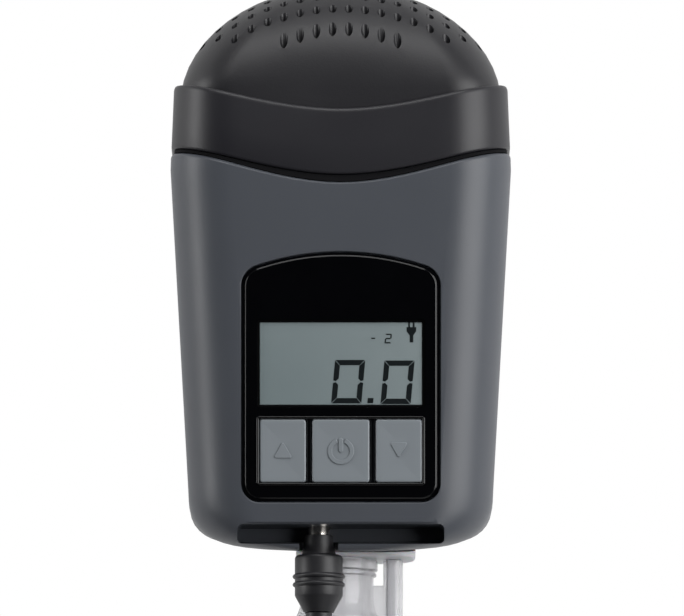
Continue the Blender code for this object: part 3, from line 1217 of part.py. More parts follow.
def power_lead():
    relief_end = -GAP * 2 - PLUG_BODY_LENGTH - PLUG_TAPER_LENGTH - RELIEF_LENGTH
    route = [(PLUG_X, relief_end - GAP, PLUG_HEIGHT), *CORD_ROUTE[1:]]
    stretch = smooth_route(route, CORD_DIAMETER * CORD_POINT_SPACING_SHARE)
    put("power_cord", tube(stretch, CORD_DIAMETER / 2, 2), RUBBER)
    coil = coil_points()
    coil[0] = Vector((coil[0].x, CORD_ROUTE[-1][1] - GAP, coil[0].z))
    put("cord_coil", tube(coil, CORD_DIAMETER / 2, 1), RUBBER)
    closest = min(
        (a - b).length for i, a in enumerate(coil) for b in coil[i + COIL_POINTS // 2:]) - CORD_DIAMETER
    length = sum((b - a).length for line in (stretch, coil) for a, b in zip(line, line[1:]))
    print(f"power lead {length:.4f} m, least gap between its turns {closest * 1000:.2f} mm")
    middle = Vector((CORD_ROUTE[-1][0] - COIL_OUTER_RADIUS, CORD_ROUTE[-1][1], 0))
    half = CORD_DIAMETER / 2
    inner = COIL_OUTER_RADIUS - COIL_PITCH * COIL_TURNS
    near = inner - COIL_TUCK - half - TIE_CLEARANCE * 2.4
    far = COIL_OUTER_RADIUS - COIL_PITCH * 0.25 + half + TIE_CLEARANCE
    low = CORD_ROUTE[-1][2] - half - GAP
    high = CORD_ROUTE[-1][2] + COIL_PITCH + half + GAP
    loops = [
        rounded_outline((-far - grow, low - grow), (-near + grow, high + grow), half + grow, 4) for grow in (0, TIE_THICKNESS)
    ]
    sides = (-TIE_WIDTH / 2, TIE_WIDTH / 2)
    rings = [[(side, y, z) for y, z in loops[k]] for k, side in ((0, sides[0]), (1, sides[0]), (1, sides[1]), (0, sides[1]))]
    put("cord_tie", loft(rings, closed=True), FOAM, place=middle)
    end = coil[-1]
    relief = SOCKET_RELIEF_LENGTH
    profile = [
        (0, SOCKET_BODY_LENGTH + relief - SOCKET_BORE_DEPTH), (BARREL_RADIUS + GAP, SOCKET_BODY_LENGTH + relief - SOCKET_BORE_DEPTH),
        (BARREL_RADIUS + GAP, SOCKET_BODY_LENGTH + relief), (SOCKET_BODY_RADIUS - SOCKET_EDGE, SOCKET_BODY_LENGTH + relief),
        (SOCKET_BODY_RADIUS, SOCKET_BODY_LENGTH + relief - SOCKET_EDGE), (SOCKET_BODY_RADIUS, relief + SOCKET_EDGE * 2),
        (SOCKET_BODY_RADIUS - SOCKET_EDGE * 2, relief), (RELIEF_ROOT_RADIUS, relief), (RELIEF_TIP_RADIUS, 0), (0, 0),
    ]
    turned("inline_socket", profile, RUBBER, (end.x, end.y + GAP, end.z), (-math.pi / 2, 0, 0), steps=SMALL_ROUND_STEPS)


# Front stack: fascia, window, keys, display and board

def fascia():
    low = FASCIA_PROUD - FASCIA_THICKNESS
    outline = fascia_outline()
    drawn = fascia_outline(-FASCIA_EDGE)
    rings = [
        [(x, v, low) for x, v in outline], [(x, v, FASCIA_PROUD - FASCIA_EDGE) for x, v in outline],
        [(x, v, FASCIA_PROUD) for x, v in drawn],
    ]
    panel = put("display_fascia", loft(rings), GLOSS_BLACK, parent=front_plane)
    rim_low = rounded_outline(
        (-keys_half_width - KEY_SPACING / 2, key_middle_v - KEY_HEIGHT / 2 - KEY_SPACING / 2),
        (keys_half_width + KEY_SPACING / 2, key_middle_v + KEY_HEIGHT / 2 + KEY_SPACING / 2), KEY_CORNER, 2)
    combine(panel, put("rim", plate(rim_low, FASCIA_PROUD - RIM_HEIGHT, FASCIA_PROUD + RIM_HEIGHT), parent=front_plane), "UNION")
    inner = rounded_outline(
        (-keys_half_width - KEY_SPACING / 2 + RIM_WIDTH, key_middle_v - KEY_HEIGHT / 2 - KEY_SPACING / 2 + RIM_WIDTH),
        (keys_half_width + KEY_SPACING / 2 - RIM_WIDTH, key_middle_v + KEY_HEIGHT / 2 + KEY_SPACING / 2 - RIM_WIDTH), KEY_CORNER / 2, 2)
    combine(panel, put("rim_inside", plate(inner, FASCIA_PROUD, FASCIA_PROUD + OVERRUN), parent=front_plane))
    combine(panel, put("window_hole", plate(window_outline(-WINDOW_STEP), low - OVERRUN, OVERRUN), parent=front_plane))
    step = FASCIA_PROUD - LENS_THICKNESS - GAP
    combine(panel, put("window_step", plate(window_outline(GAP), step, OVERRUN), parent=front_plane))
    for name, middle, width in keys:
        hole = plate(key_outline(middle, width, GAP), low - OVERRUN, OVERRUN)
        combine(panel, put(f"{name}_hole", hole, parent=front_plane))
    put("display_lens", plate(window_outline(), step + GAP, FASCIA_PROUD), CLEAR, parent=front_plane)


def buttons():
    low = FASCIA_PROUD - FASCIA_THICKNESS - GAP
    bottom = low - KEY_FLANGE_THICKNESS
    for name, middle, width in keys:
        outline = key_outline(0, width)
        flange = key_outline(0, width, KEY_FLANGE)
        edge = key_outline(0, width, -KEY_EDGE)
        rings = [
            [(x, v, bottom) for x, v in flange], [(x, v, low) for x, v in flange],
            [(x, v, low) for x, v in outline], [(x, v, KEY_PROUD - KEY_EDGE) for x, v in outline],
            [(x, v, KEY_PROUD) for x, v in edge],
            [(x * 0.5, key_middle_v + (v - key_middle_v) * 0.5, KEY_PROUD - KEY_DISH_DEPTH) for x, v in edge],
        ]
        cap = put(f"button_{name}", loft(rings), KEY_GREY, parent=front_plane, place=(middle, 0, 0))
        stem_low = switch_top + KEY_CLEARANCE
        stem = cylinders(KEY_STEM_RADIUS, stem_low, bottom + KEY_FLANGE_THICKNESS / 2, [(middle, key_middle_v)], steps=SMALL_ROUND_STEPS)
        combine(cap, put(f"{name}_stem", stem, parent=front_plane), "UNION")
        switch_low = -BOARD_DROP + GAP
        side = SWITCH_WIDTH / 2
        body = box((middle - side, key_middle_v - side, switch_low), (middle + side, key_middle_v + side, switch_top - PLUNGER_HEIGHT))
        switch = put(f"key_switch_{name}", body, PLASTIC_BLACK, parent=front_plane)
        plunger = cylinders(PLUNGER_RADIUS, switch_top - PLUNGER_HEIGHT * 2, switch_top, [(middle, key_middle_v)], steps=SMALL_ROUND_STEPS)
        combine(switch, put(f"{name}_plunger", plunger, parent=front_plane), "UNION")


switch_top = FASCIA_PROUD - FASCIA_THICKNESS - GAP - KEY_FLANGE_THICKNESS - KEY_CLEARANCE * 2


def display():
    top = FASCIA_PROUD - FASCIA_THICKNESS - LCD_DROP
    bottom = top - LCD_THICKNESS
    put("lcd_module", plate(window_outline(LCD_MARGIN), bottom, top), LCD_GREEN, parent=front_plane)
    low = -BOARD_DROP + GAP
    holder = put("lcd_holder", plate(window_outline(LCD_MARGIN), low, bottom - GAP), PLASTIC_WHITE, parent=front_plane)
    half = WINDOW_WIDTH / 2 * HOLDER_INNER_SHARE
    rise = WINDOW_HEIGHT / 2 * HOLDER_INNER_SHARE
    hole = box((-half, window_middle_v - rise, low - OVERRUN), (half, window_middle_v + rise, bottom + OVERRUN))
    combine(holder, put("holder_hole", hole, parent=front_plane))


def board():
    low = -BOARD_DROP - BOARD_THICKNESS
    half = board_width / 2
    outline = rounded_outline((-half, BOARD_LOW_V), (half, BOARD_HIGH_V), BOARD_CORNER, 3)
    main = put("main_board", plate(outline, low, -BOARD_DROP), BOARD_GREEN, parent=front_plane)
    jack_end = jack_end_v + GAP
    notch = box(
        (PLUG_X - JACK_WIDTH / 2 - GAP, BOARD_LOW_V - OVERRUN, low - OVERRUN),
        (PLUG_X + JACK_WIDTH / 2 + GAP, jack_end, OVERRUN - BOARD_DROP),
    )
    combine(main, put("jack_notch", notch, parent=front_plane))
    post_row = board_width / 2 - BOARD_POST_INSET * 3
    things = (
        ("chip", box((-CHIP_SIZE / 2, window_middle_v - CHIP_SIZE / 2, low - CHIP_HEIGHT), (CHIP_SIZE / 2, window_middle_v + CHIP_SIZE / 2, low + GAP))),
        ("connector", box(
            (-CONNECTOR_WIDTH / 2, BOARD_HIGH_V - CONNECTOR_DEPTH * 2, low - CONNECTOR_HEIGHT),
            (CONNECTOR_WIDTH / 2, BOARD_HIGH_V - CONNECTOR_DEPTH, low + GAP))),
        ("capacitor", cylinders(CAPACITOR_RADIUS, low - CAPACITOR_HEIGHT, low + GAP, [(-post_row, window_middle_v - CHIP_SIZE)], steps=SMALL_ROUND_STEPS)),
    )
    for name, shape in things:
        combine(main, put(name, shape, parent=front_plane), "UNION")
    combine(main, put("board_holes", cylinders(
        BOARD_SCREW_RADIUS + GAP, low - OVERRUN, OVERRUN - BOARD_DROP, board_post_places, steps=SCREW_STEPS), parent=front_plane))
    for i, (x, v) in enumerate(board_post_places):
        turned(f"board_screw_{i + 1}", [
            (0, BOARD_SCREW_LENGTH - BOARD_SCREW_HEAD_HEIGHT), (BOARD_SCREW_RADIUS, BOARD_SCREW_LENGTH - BOARD_SCREW_HEAD_HEIGHT),
            (BOARD_SCREW_RADIUS, -GAP), (BOARD_SCREW_HEAD_RADIUS, -GAP),
            (BOARD_SCREW_HEAD_RADIUS, -GAP - BOARD_SCREW_HEAD_HEIGHT), (0, -GAP - BOARD_SCREW_HEAD_HEIGHT),
        ], STEEL, (x, v, low), parent=front_plane, steps=SCREW_STEPS)


# Top end and cap

def inlet_frame():
    """The neck that carries the filter cap, with the grid that the filter lies on."""
    below = WALL + GAP
    above = BAND_INSET + BAND_WALL + GAP
    groove = above + CAP_SEAL_DEPTH
    inside = below + NECK_WALL
    low = NECK_GROOVE_Y
    high = NECK_GROOVE_Y + CAP_SEAL_HEIGHT + GAP * 2
    step = SEAM_Y + GAP
    profile = [
        (below, NECK_LOW_Y), (below, step), (above, step), (above, low), (groove, low), (groove, high), (above, high),
        (above, NECK_TOP_Y), (inside, NECK_TOP_Y), (inside, NECK_LOW_Y),
    ]
    frame = put("inlet_frame", loft([contour(y, inset) for inset, y in profile], closed=True), PLASTIC_BLACK)
    grid_inset = (below + inside) / 2
    grid = put("inlet_grid", loft([contour(y, grid_inset) for y in (GRID_Y, GRID_Y + GRID_THICKNESS)]))
    slots = bmesh.new()
    middle = (front_height(GRID_Y) + back_height(GRID_Y)) / 2
    for i in range(GRID_SLOTS):
        x = (i - (GRID_SLOTS - 1) / 2) * GRID_SLOT_PITCH
        size = Matrix.Diagonal((GRID_SLOT_WIDTH, GRID_THICKNESS + OVERRUN * 2, GRID_SLOT_HEIGHT, 1))
        bmesh.ops.create_cube(slots, size=1, matrix=Matrix.Translation((x, GRID_Y + GRID_THICKNESS / 2, middle)) @ size)
    combine(frame, combine(grid, put("grid_slots", slots)), "UNION")
    seal_low = low + GAP
    seal_high = seal_low + CAP_SEAL_HEIGHT
    seal_inside = groove - GAP
    seal = [(above, seal_low), (above, seal_high), (seal_inside, seal_high), (seal_inside, seal_low)]
    put("cap_seal", loft([contour(y, inset) for inset, y in seal], closed=True), SILICONE)
    foam_inset = WALL + FOAM_CLEARANCE
    foam_low = NECK_LOW_Y - GAP - FOAM_LENGTH
    rings = [housing_ring(y, foam_inset, seamed=False) for y in (foam_low, NECK_LOW_Y - GAP)]
    put("muffler_foam", loft(rings), FOAM)


def dome_ring(height, inset):
    """The dome's outline at a height over its middle: a rounded rectangle at its foot that turns into an ellipse."""
    drop = min(1, max(0, height) / (DOME_HEIGHT - inset))
    scale = math.sqrt(1 - drop * drop)
    low, high = back_height(DOME_MIDDLE_Y), front_height(DOME_MIDDLE_Y)
    middle = (low + high) / 2
    inset += BAND_INSET + BAND_WALL + GAP
    half, depth = half_width(DOME_MIDDLE_Y) - inset, (high - low) / 2 - inset
    ring = []
    corners = section(half, -depth, depth, BACK_CORNER - inset, FRONT_CORNER - inset, flat_steps=DOME_FLAT_STEPS)
    for x, z in corners:
        angle = math.atan2(z / depth, x / half)
        x += (half * math.cos(angle) - x) * drop
        z += (depth * math.sin(angle) - z) * drop
        ring.append((x * scale, DOME_MIDDLE_Y + height, middle + z * scale))
    return ring


def cap():
    """The filter cap: a smooth band with a wavy edge, the perforated dome in it, and the filter."""
    def low(x):
        side = math.cos(math.pi * x / HOUSING_WIDTH) ** 2
        return seam(x) + BAND_GAP_SIDE + (BAND_GAP_MIDDLE - BAND_GAP_SIDE) * side

    inside = BAND_INSET + BAND_WALL
    profile = [
        (inside, 0, 0), (BAND_INSET + BAND_EDGE / 2, 0, 0), (BAND_INSET, 0, BAND_EDGE / 2), (BAND_INSET, BAND_HEIGHT, -BAND_EDGE),
        (BAND_INSET + BAND_EDGE / 4, BAND_HEIGHT, -BAND_EDGE / 4), (BAND_INSET + BAND_EDGE * 0.8, BAND_HEIGHT, 0), (inside, BAND_HEIGHT, 0),
    ]
    rings = [
        contour(SEAM_Y + rise, inset, lambda x, rise=rise, shift=shift: low(x) + rise + shift)
        for inset, rise, shift in profile
    ]
    put("cap_band", loft(rings, closed=True), BLACK_CAP)
    skirt = NECK_TOP_Y + GAP * 2 - DOME_MIDDLE_Y
    outer, inner = (
        [dome_ring(skirt, inset)]
        + [dome_ring(math.sin(math.radians(a)) * (DOME_HEIGHT - inset), inset) for a in angles]
        for inset, angles in ((0, DOME_RING_ANGLES), (DOME_WALL, DOME_INNER_RING_ANGLES))
    )
    dome = put("dome_grille", loft(outer[::-1] + inner), BLACK_CAP)
    middle = (front_height(DOME_MIDDLE_Y) + back_height(DOME_MIDDLE_Y)) / 2
    columns = int(HOLE_FIELD_HALF_WIDTH / HOLE_PITCH) + 1
    rows = int(HOLE_FIELD_HALF_DEPTH / HOLE_ROW_PITCH)
    places = []
    for row in range(HOLE_LOWEST_ROW, rows + 1):
        for column in range(-columns, columns):
            x, z = (column + 0.5) * HOLE_PITCH, row * HOLE_ROW_PITCH
            if (x / HOLE_FIELD_HALF_WIDTH) ** 2 + (z / HOLE_FIELD_HALF_DEPTH) ** 2 <= 1:
                places.append((x, -z))
    holes = cylinders(HOLE_RADIUS, 0, DOME_HEIGHT + OVERRUN, places, steps=HOLE_SIDES)
    combine(dome, put("dome_holes", along_y(holes, 0, DOME_MIDDLE_Y, middle)))
    filter_inset = DOME_WALL + GAP * 2
    filter_low = NECK_TOP_Y + GAP
    filter_high = filter_low + FILTER_THICKNESS
    rings = []
    for y, inset in ((filter_low, FILTER_CORNER), (filter_low + FILTER_CORNER, 0), (filter_high - FILTER_CORNER, 0), (filter_high, FILTER_CORNER)):
        rings.append([(x, y, z) for x, _, z in dome_ring(0, filter_inset + inset)])
    put("filter_pad", loft(rings), FILTER_WHITE)


# Feet and case screws

def feet_and_screws():
    for i, (x, y) in enumerate(foot_places):
        top = BACK_HEIGHT + FOOT_RECESS - GAP
        turned(f"foot_{i + 1}", [
            (0, top), (FOOT_RADIUS, top), (FOOT_RADIUS, FOOT_EDGE), (FOOT_RADIUS - FOOT_EDGE, 0), (0, 0),
        ], RUBBER, (x, y, 0), steps=SMALL_ROUND_STEPS)
    for i, (x, y) in enumerate(case_screw_places):
        floor = CASE_SCREW_HEAD_FLOOR - GAP
        turned(f"case_screw_{i + 1}", [
            (0, floor + CASE_SCREW_LENGTH), (CASE_SCREW_RADIUS, floor + CASE_SCREW_LENGTH), (CASE_SCREW_RADIUS, floor),
            (CASE_SCREW_HEAD_RADIUS, floor), (CASE_SCREW_HEAD_RADIUS, floor - CASE_SCREW_HEAD_HEIGHT),
            (0, floor - CASE_SCREW_HEAD_HEIGHT),
        ], STEEL, (x, y, 0), steps=SCREW_STEPS)


front_case()
rear_case()
fascia()
buttons()
display()
board()
blower_case()
motor()
impeller()
outlet_duct()
port_block()
sensing_line()
hose_adapter()
adapter_collar()
inlet_frame()
cap()
feet_and_screws()
power_jack()
power_plug()
power_lead()
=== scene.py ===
"""A travel breathing-pressure machine lying on its back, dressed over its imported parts, in metres."""
import math

import bmesh
import bpy
from mathutils import Matrix, Vector


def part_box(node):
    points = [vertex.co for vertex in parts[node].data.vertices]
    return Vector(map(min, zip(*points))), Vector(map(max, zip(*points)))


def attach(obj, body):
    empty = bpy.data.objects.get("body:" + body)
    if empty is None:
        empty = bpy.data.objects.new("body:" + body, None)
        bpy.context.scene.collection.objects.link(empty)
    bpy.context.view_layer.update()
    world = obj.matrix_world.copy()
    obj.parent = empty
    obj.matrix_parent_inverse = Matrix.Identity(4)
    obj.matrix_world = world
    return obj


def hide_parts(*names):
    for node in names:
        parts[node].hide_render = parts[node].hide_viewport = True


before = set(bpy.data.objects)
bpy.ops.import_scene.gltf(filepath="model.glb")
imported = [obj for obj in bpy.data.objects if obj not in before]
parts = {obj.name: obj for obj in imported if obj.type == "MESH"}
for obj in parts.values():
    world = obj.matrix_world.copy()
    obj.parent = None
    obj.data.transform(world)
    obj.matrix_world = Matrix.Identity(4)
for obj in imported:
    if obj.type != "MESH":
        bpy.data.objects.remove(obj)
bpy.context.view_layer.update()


# Camera. The photograph looks down on the display, leaning a little towards the hose end, from far off
# with a long lens, so that the sides hardly draw together.
def placed(name, data):
    """A new object of this data, in the scene."""
    made = bpy.data.objects.new(name, data)
    bpy.context.scene.collection.objects.link(made)
    return made


lean = math.radians(6.5)
looked_at = Vector((0.0003, 0.00325, 0.025))
camera_distance = 4
camera = placed("camera", bpy.data.cameras.new("camera"))
camera.data.lens = 852
camera.data.sensor_width = 36
camera.location = looked_at + camera_distance * Vector((0, -math.sin(lean), math.cos(lean)))
camera.rotation_euler = (lean, 0, 0)
bpy.context.scene.camera = camera


# Power lead. A round two-core flex in soft black vinyl, moulded into the plug's strain relief. What the
# photograph doesn't show of it is wound in two flat layers and lies on the table beside the hose end.
class Tone:
    """An output of a finish's nodes. Sums on it add the Math nodes that work them out."""

    def __init__(self, socket):
        self.socket = socket

    def node(self, kind, settings=None, values=None, out=0):
        tree = self.socket.id_data
        made = tree.nodes.new(kind)
        for name, value in (settings or {}).items():
            setattr(made, name, value)
        for name, value in (values or {}).items():
            if isinstance(value, Tone):
                tree.links.new(value.socket, made.inputs[name])
            else:
                made.inputs[name].default_value = value
        return Tone(made.outputs[out])

    def sums(self, operation, first, second):
        return self.node("ShaderNodeMath", {"operation": operation}, {0: first, 1: second})

    def __add__(self, other):
        return self.sums("ADD", self, other)

    def __mul__(self, other):
        return self.sums("MULTIPLY", self, other)

    __radd__, __rmul__ = __add__, __mul__

    def noise(self, scale, detail=2, roughness=0.5):
        values = {"Vector": self, "Scale": scale, "Detail": detail, "Roughness": roughness}
        return self.node("ShaderNodeTexNoise", {}, values)

    def stretched(self, scale):
        return self.node("ShaderNodeMapping", {}, {"Vector": self, "Scale": scale})

    def axis(self, which):
        """One coordinate of this place or direction: 0 for X, 1 for Y, 2 for Z."""
        return self.node("ShaderNodeSeparateXYZ", {}, {0: self}, out=which)

    def between(self, low, high):
        """A colour between two, by this number."""
        return self.node("ShaderNodeMix", {"data_type": "RGBA"}, {0: self, 6: (*low, 1), 7: (*high, 1)}, out=2)

    def over(self, low, high):
        """From 0 to 1 as this number goes from low to high."""
        return self.node("ShaderNodeMapRange", {}, {0: self, 1: low, 2: high})

    def relief(self, depth, strength=1):
        return self.node("ShaderNodeBump", {}, {"Height": self, "Strength": strength, "Distance": depth})


def start_finish(name, constants):
    """A new finish with its even values set: the material, its place on the object, and its shader's sockets."""
    material = bpy.data.materials.new(name)
    material.use_nodes = True
    tree = material.node_tree
    shader = tree.nodes["Principled BSDF"]
    for key, value in constants.items():
        shader.inputs[key].default_value = value
    where = Tone(tree.nodes.new("ShaderNodeTexCoord").outputs["Object"])

    def lay(**tones):
        for key, tone in tones.items():
            tree.links.new(tone.socket, shader.inputs[key.replace("_", " ")])
    return material, where, lay


def patterned(lay, pattern, dark, light, spread, roughness, depth, strength=0.8):
    """One pattern as a finish's colour, its roughness and its relief."""
    lay(
        Base_Color=pattern.between(dark, light),
        Roughness=pattern * spread + roughness,
        Normal=pattern.relief(depth, strength),
    )


def moulded(name, colour, roughness, grain=2600, depth=0.00002, mottle=0.06, **constants):
    """Moulded plastic or rubber: a colour that hardly wanders, and the tool's fine grain."""
    material, where, lay = start_finish(name, {key.replace("_", " "): value for key, value in constants.items()})
    slow = where.noise(55, 3)
    fine = where.noise(grain, 3, 0.6)
    dark = [value * (1 - mottle) for value in colour]
    light = [value * (1 + mottle) for value in colour]
    lay(
        Base_Color=(slow * 0.7 + fine * 0.3).between(dark, light),
        Roughness=slow * 0.08 + fine * 0.06 + (roughness - 0.07),
        Normal=fine.relief(depth, 0.5),
    )
    return material


lead_width = 0.0036
plug_x, plug_z = -0.0054, 0.0365
lead_exit = Vector((plug_x, -0.0957, plug_z))
lead_points = [lead_exit] + [Vector(p) / 1000 for p in (
    (-5.4, -101, 36.4), (-5, -106, 36), (-3.6, -111, 34.9), (-1.2, -116, 33), (1.6, -121, 30), (4.2, -126, 26),
    (6.2, -131, 21), (7.4, -136, 15.6), (8.1, -141, 10.5), (8.5, -146, 6.5), (8.7, -151, 4.2), (8.8, -156, 3.3),
    (8.8, -160, 3.2))]


def eased(points, spacing):
    """Points about a spacing apart on a smooth line through the points of a route."""
    ends = [points[0] * 2 - points[1], *points, points[-1] * 2 - points[-2]]
    fine = []
    for a, b, c, d in zip(ends, ends[1:], ends[2:], ends[3:]):
        square, cube = a * 2 - b * 5 + c * 4 - d, b * 3 - a - c * 3 + d
        for t in (k / 20 for k in range(20)):
            fine.append((b * 2 + (c - a) * t + square * t * t + cube * t**3) / 2)
    fine.append(points[-1])
    kept, run = [fine[0]], 0
    for a, b in zip(fine, fine[1:]):
        run += (b - a).length
        if run >= spacing:
            kept.append(b)
            run = 0
    return kept[:-1] + [fine[-1]]


lead_line = eased(lead_points, 0.003)
coil_middle = Vector((-0.02, -0.1606, 0.0032))
turn_points, turn_pitch, coil_turns, coil_reach = 48, 0.0041, 4, 0.0288
crossing_dip = 0.0008
tail_length, tail_height = 0.018, 0.0058
inmost = coil_reach - turn_pitch * coil_turns
for i in range(coil_turns * 2 * turn_points + turn_points // 2 + 1):
    angle = -math.tau * i / turn_points
    turns = i / turn_points
    if turns <= coil_turns:
        reach, rise = coil_reach - turn_pitch * turns, 0
    elif turns <= coil_turns + 0.5:
        share = (turns - coil_turns) * 2
        reach, rise = inmost - crossing_dip * math.sin(math.pi * share), share * share * (3 - 2 * share)
    else:
        reach, rise = inmost + turn_pitch * (turns - coil_turns - 0.5), 1
    lead_line.append(coil_middle + Vector((reach * math.cos(angle), reach * math.sin(angle), rise * turn_pitch)))
lead_end = lead_line[-1].copy()
for i in range(1, 11):
    share = i / 10
    drop = min(1, share * 1.25)
    rise = (tail_height - lead_end.z) * drop * drop * (3 - 2 * drop)
    lead_line.append(lead_end + Vector((0, tail_length * share, rise)))


def round_curve(name, radius, steps, material):
    """An empty curve of this radius with closed ends, and its object."""
    curve = bpy.data.curves.new(name, "CURVE")
    curve.dimensions = "3D"
    curve.bevel_depth = radius
    curve.bevel_resolution = steps
    curve.use_fill_caps = True
    curve.materials.append(material)
    return curve, placed(name, curve)


soft_vinyl = moulded("soft_vinyl", (0.019, 0.019, 0.021), 0.5, grain=1800, depth=0.00002)
lead_curve, supply_lead = round_curve("supply_lead", lead_width / 2, 5, soft_vinyl)
spline = lead_curve.splines.new("POLY")
spline.points.add(len(lead_line) - 1)
for point, place in zip(spline.points, lead_line):
    point.co = (*place, 1)
spline.use_smooth = True
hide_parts("power_cord", "cord_coil")
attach(supply_lead, "power_lead")


# Plug. A machined and nickel-plated barrel stands in a soft moulded body with two grip rings, and a ribbed
# strain relief carries the lead away. All of it is turned about the plug's own line.
hose_end_y = -0.059
plug_foot = Vector((plug_x, hose_end_y, plug_z))
along_y = Matrix.Rotation(-math.pi / 2, 4, "X")


def in_mm(*places):
    """Places given in millimetres, in metres."""
    return [tuple(value / 1000 for value in place) for place in places]


def turned(name, profile, foot, material, steps=64, sharp=28, direction=along_y):
    """A revolved piece: (radius, distance) points, round the outside and back to the axis or round a bore."""
    bm = bmesh.new()
    verts = [bm.verts.new((radius, 0, distance)) for radius, distance in profile]
    edges = [bm.edges.new(pair) for pair in zip(verts, verts[1:]) if pair[0].co.x or pair[1].co.x]
    if profile[0][0] or profile[-1][0]:
        edges.append(bm.edges.new((verts[-1], verts[0])))
    bmesh.ops.spin(
        bm, geom=verts + edges, cent=(0, 0, 0), axis=(0, 0, 1), angle=math.tau, steps=steps, use_merge=True)
    bmesh.ops.remove_doubles(bm, verts=bm.verts, dist=1e-7)
    bmesh.ops.recalc_face_normals(bm, faces=bm.faces)
    bmesh.ops.transform(bm, matrix=Matrix.Translation(foot) @ direction, verts=bm.verts)
    return settled(name, bm, material, sharp)


def settled(name, bm, material=None, sharp=28):
    """A finished piece from its bmesh, smooth but for its edges."""
    mesh = bpy.data.meshes.new(name)
    bm.to_mesh(mesh)
    bm.free()
    mesh.shade_smooth()
    mesh.set_sharp_from_angle(angle=math.radians(sharp))
    if material:
        mesh.materials.append(material)
    return placed(name, mesh)


def rounded(middle_x, middle_y, radius, start, end, steps):
    """Points on an arc, with its angles in degrees."""
    angles = [math.radians(start + (end - start) * i / steps) for i in range(steps + 1)]
    return [(middle_x + radius * math.cos(a), middle_y + radius * math.sin(a)) for a in angles]


plug_rubber = moulded("plug_rubber", (0.015, 0.015, 0.0175), 0.46, grain=2200, depth=0.00002)
body_profile = in_mm((3.05, 4.6), (3.3, 4.6), (3.5, 4.4), (3.6, 2.4), (4.2, -0.1))
body_profile += rounded(0.005, -0.0012, 0.0009, 90, 0, 6)
body_radius = 0.0059
for rib in (-0.005, -0.007):
    grip_ring = rounded(body_radius, rib - 0.00058, 0.00055, 80, -80, 8)
    body_profile += [(body_radius, rib + 0.00005), *grip_ring, (body_radius, rib - 0.0012)]
body_profile += [(body_radius, -0.0102)] + in_mm(
    (5.75, -10.6), (4.1, -13.6), (3.7, -14.4), (0, -14.4), (0, 2.2),
    (3.05, 2.2))
plug_body = turned("plug_moulding", body_profile, plug_foot, plug_rubber)
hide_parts("plug_body")
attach(plug_body, "power_lead")

nickel, where, lay = start_finish("nickel_plate", {"Metallic": 1})
scratch = where.stretched((1, 0.04, 1)).noise(9000, 3)
lay(
    Base_Color=where.noise(400).between((0.72, 0.68, 0.62), (0.86, 0.83, 0.78)),
    Roughness=scratch * 0.12 + 0.14,
    Normal=scratch.relief(0.000006, 0.3),
)
barrel_low, barrel_high = 0.0025, 0.0144
plug_barrel = turned("plug_barrel_tube", [
    (0.00275, barrel_high - 0.0003), (0.00275, barrel_low), (0.0013, barrel_low),
    (0.0013, barrel_high - 0.0002), (0.0015, barrel_high), (0.00245, barrel_high),
], plug_foot, nickel, sharp=50)
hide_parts("plug_barrel")
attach(plug_barrel, "power_lead")

relief_high, relief_low, ribs = -0.0147, -0.0367, 8
relief_profile = [(0, relief_high)]
pitch = (relief_high - relief_low) / ribs
for i in range(ribs):
    top = relief_high - pitch * i
    radius = 0.0033 - 0.0009 * i / ribs
    groove = radius - 0.0006
    relief_profile += [
        (groove if i else radius, top), (radius, top - pitch * 0.12),
        (radius - 0.00004, top - pitch * 0.6), (groove, top - pitch * 0.72)]
relief_profile += [(0.0021, relief_low), (0, relief_low)]
plug_relief = turned("strain_relief", relief_profile, plug_foot, plug_rubber)
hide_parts("plug_relief")
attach(plug_relief, "power_lead")

socket_foot = Vector((lead_end.x, lead_end.y + tail_length + 0.0003, tail_height))
inline_socket = turned("lead_socket", in_mm(
    (1.3, 29), (3.05, 29), (3.05, 37.6), (3.3, 38), (4.7, 38),
    (5.2, 37.8), (5.4, 37.3), (5.4, 28.5), (5.15, 28.2), (5.15, 27.2),
    (5.4, 26.9), (5.4, 26.2), (5.15, 25.9), (5.15, 24.9), (5.4, 24.6),
    (5.4, 11.6), (5, 10.6), (3.8, 10), (3.3, 9.8), (2.9, 7.8),
    (3.15, 7.5), (3.1, 5.8), (2.75, 5.4), (2.65, 4), (2.9, 3.7),
    (2.8, 2), (2.4, 1.6), (2.3, 0), (0, 0), (0, 29),
), socket_foot, plug_rubber)
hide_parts("inline_socket")
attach(inline_socket, "power_lead")


# Tie round the coil. A strap of black hook-and-loop tape, its end pressed back on itself.
def drawn(rings, closed=False, matrix=None):
    """A skin drawn out of its first ring through the others, filled at its ends unless it closes on itself."""
    bm = bmesh.new()
    order = bm.verts.layers.int.new("order")
    verts = [bm.verts.new(point) for point in rings[0]]
    for i, vert in enumerate(verts):
        vert[order] = i
    first = edges = [bm.edges.new(pair) for pair in zip(verts, verts[1:] + verts[:1])]
    for ring in rings[1:] + (rings[:1] if closed else []):
        made = bmesh.ops.extrude_edge_only(bm, edges=edges)["geom"]
        new = {part for part in made if isinstance(part, bmesh.types.BMVert)}
        edges = [edge for edge in made if isinstance(edge, bmesh.types.BMEdge) and set(edge.verts) <= new]
        for vert in new:
            vert.co = ring[vert[order]]
    if not closed:
        bmesh.ops.edgeloop_fill(bm, edges=first)
        bmesh.ops.edgeloop_fill(bm, edges=edges)
    bmesh.ops.remove_doubles(bm, verts=bm.verts, dist=1e-7)
    bmesh.ops.recalc_face_normals(bm, faces=bm.faces)
    if matrix:
        bmesh.ops.transform(bm, matrix=matrix, verts=bm.verts)
    return bm


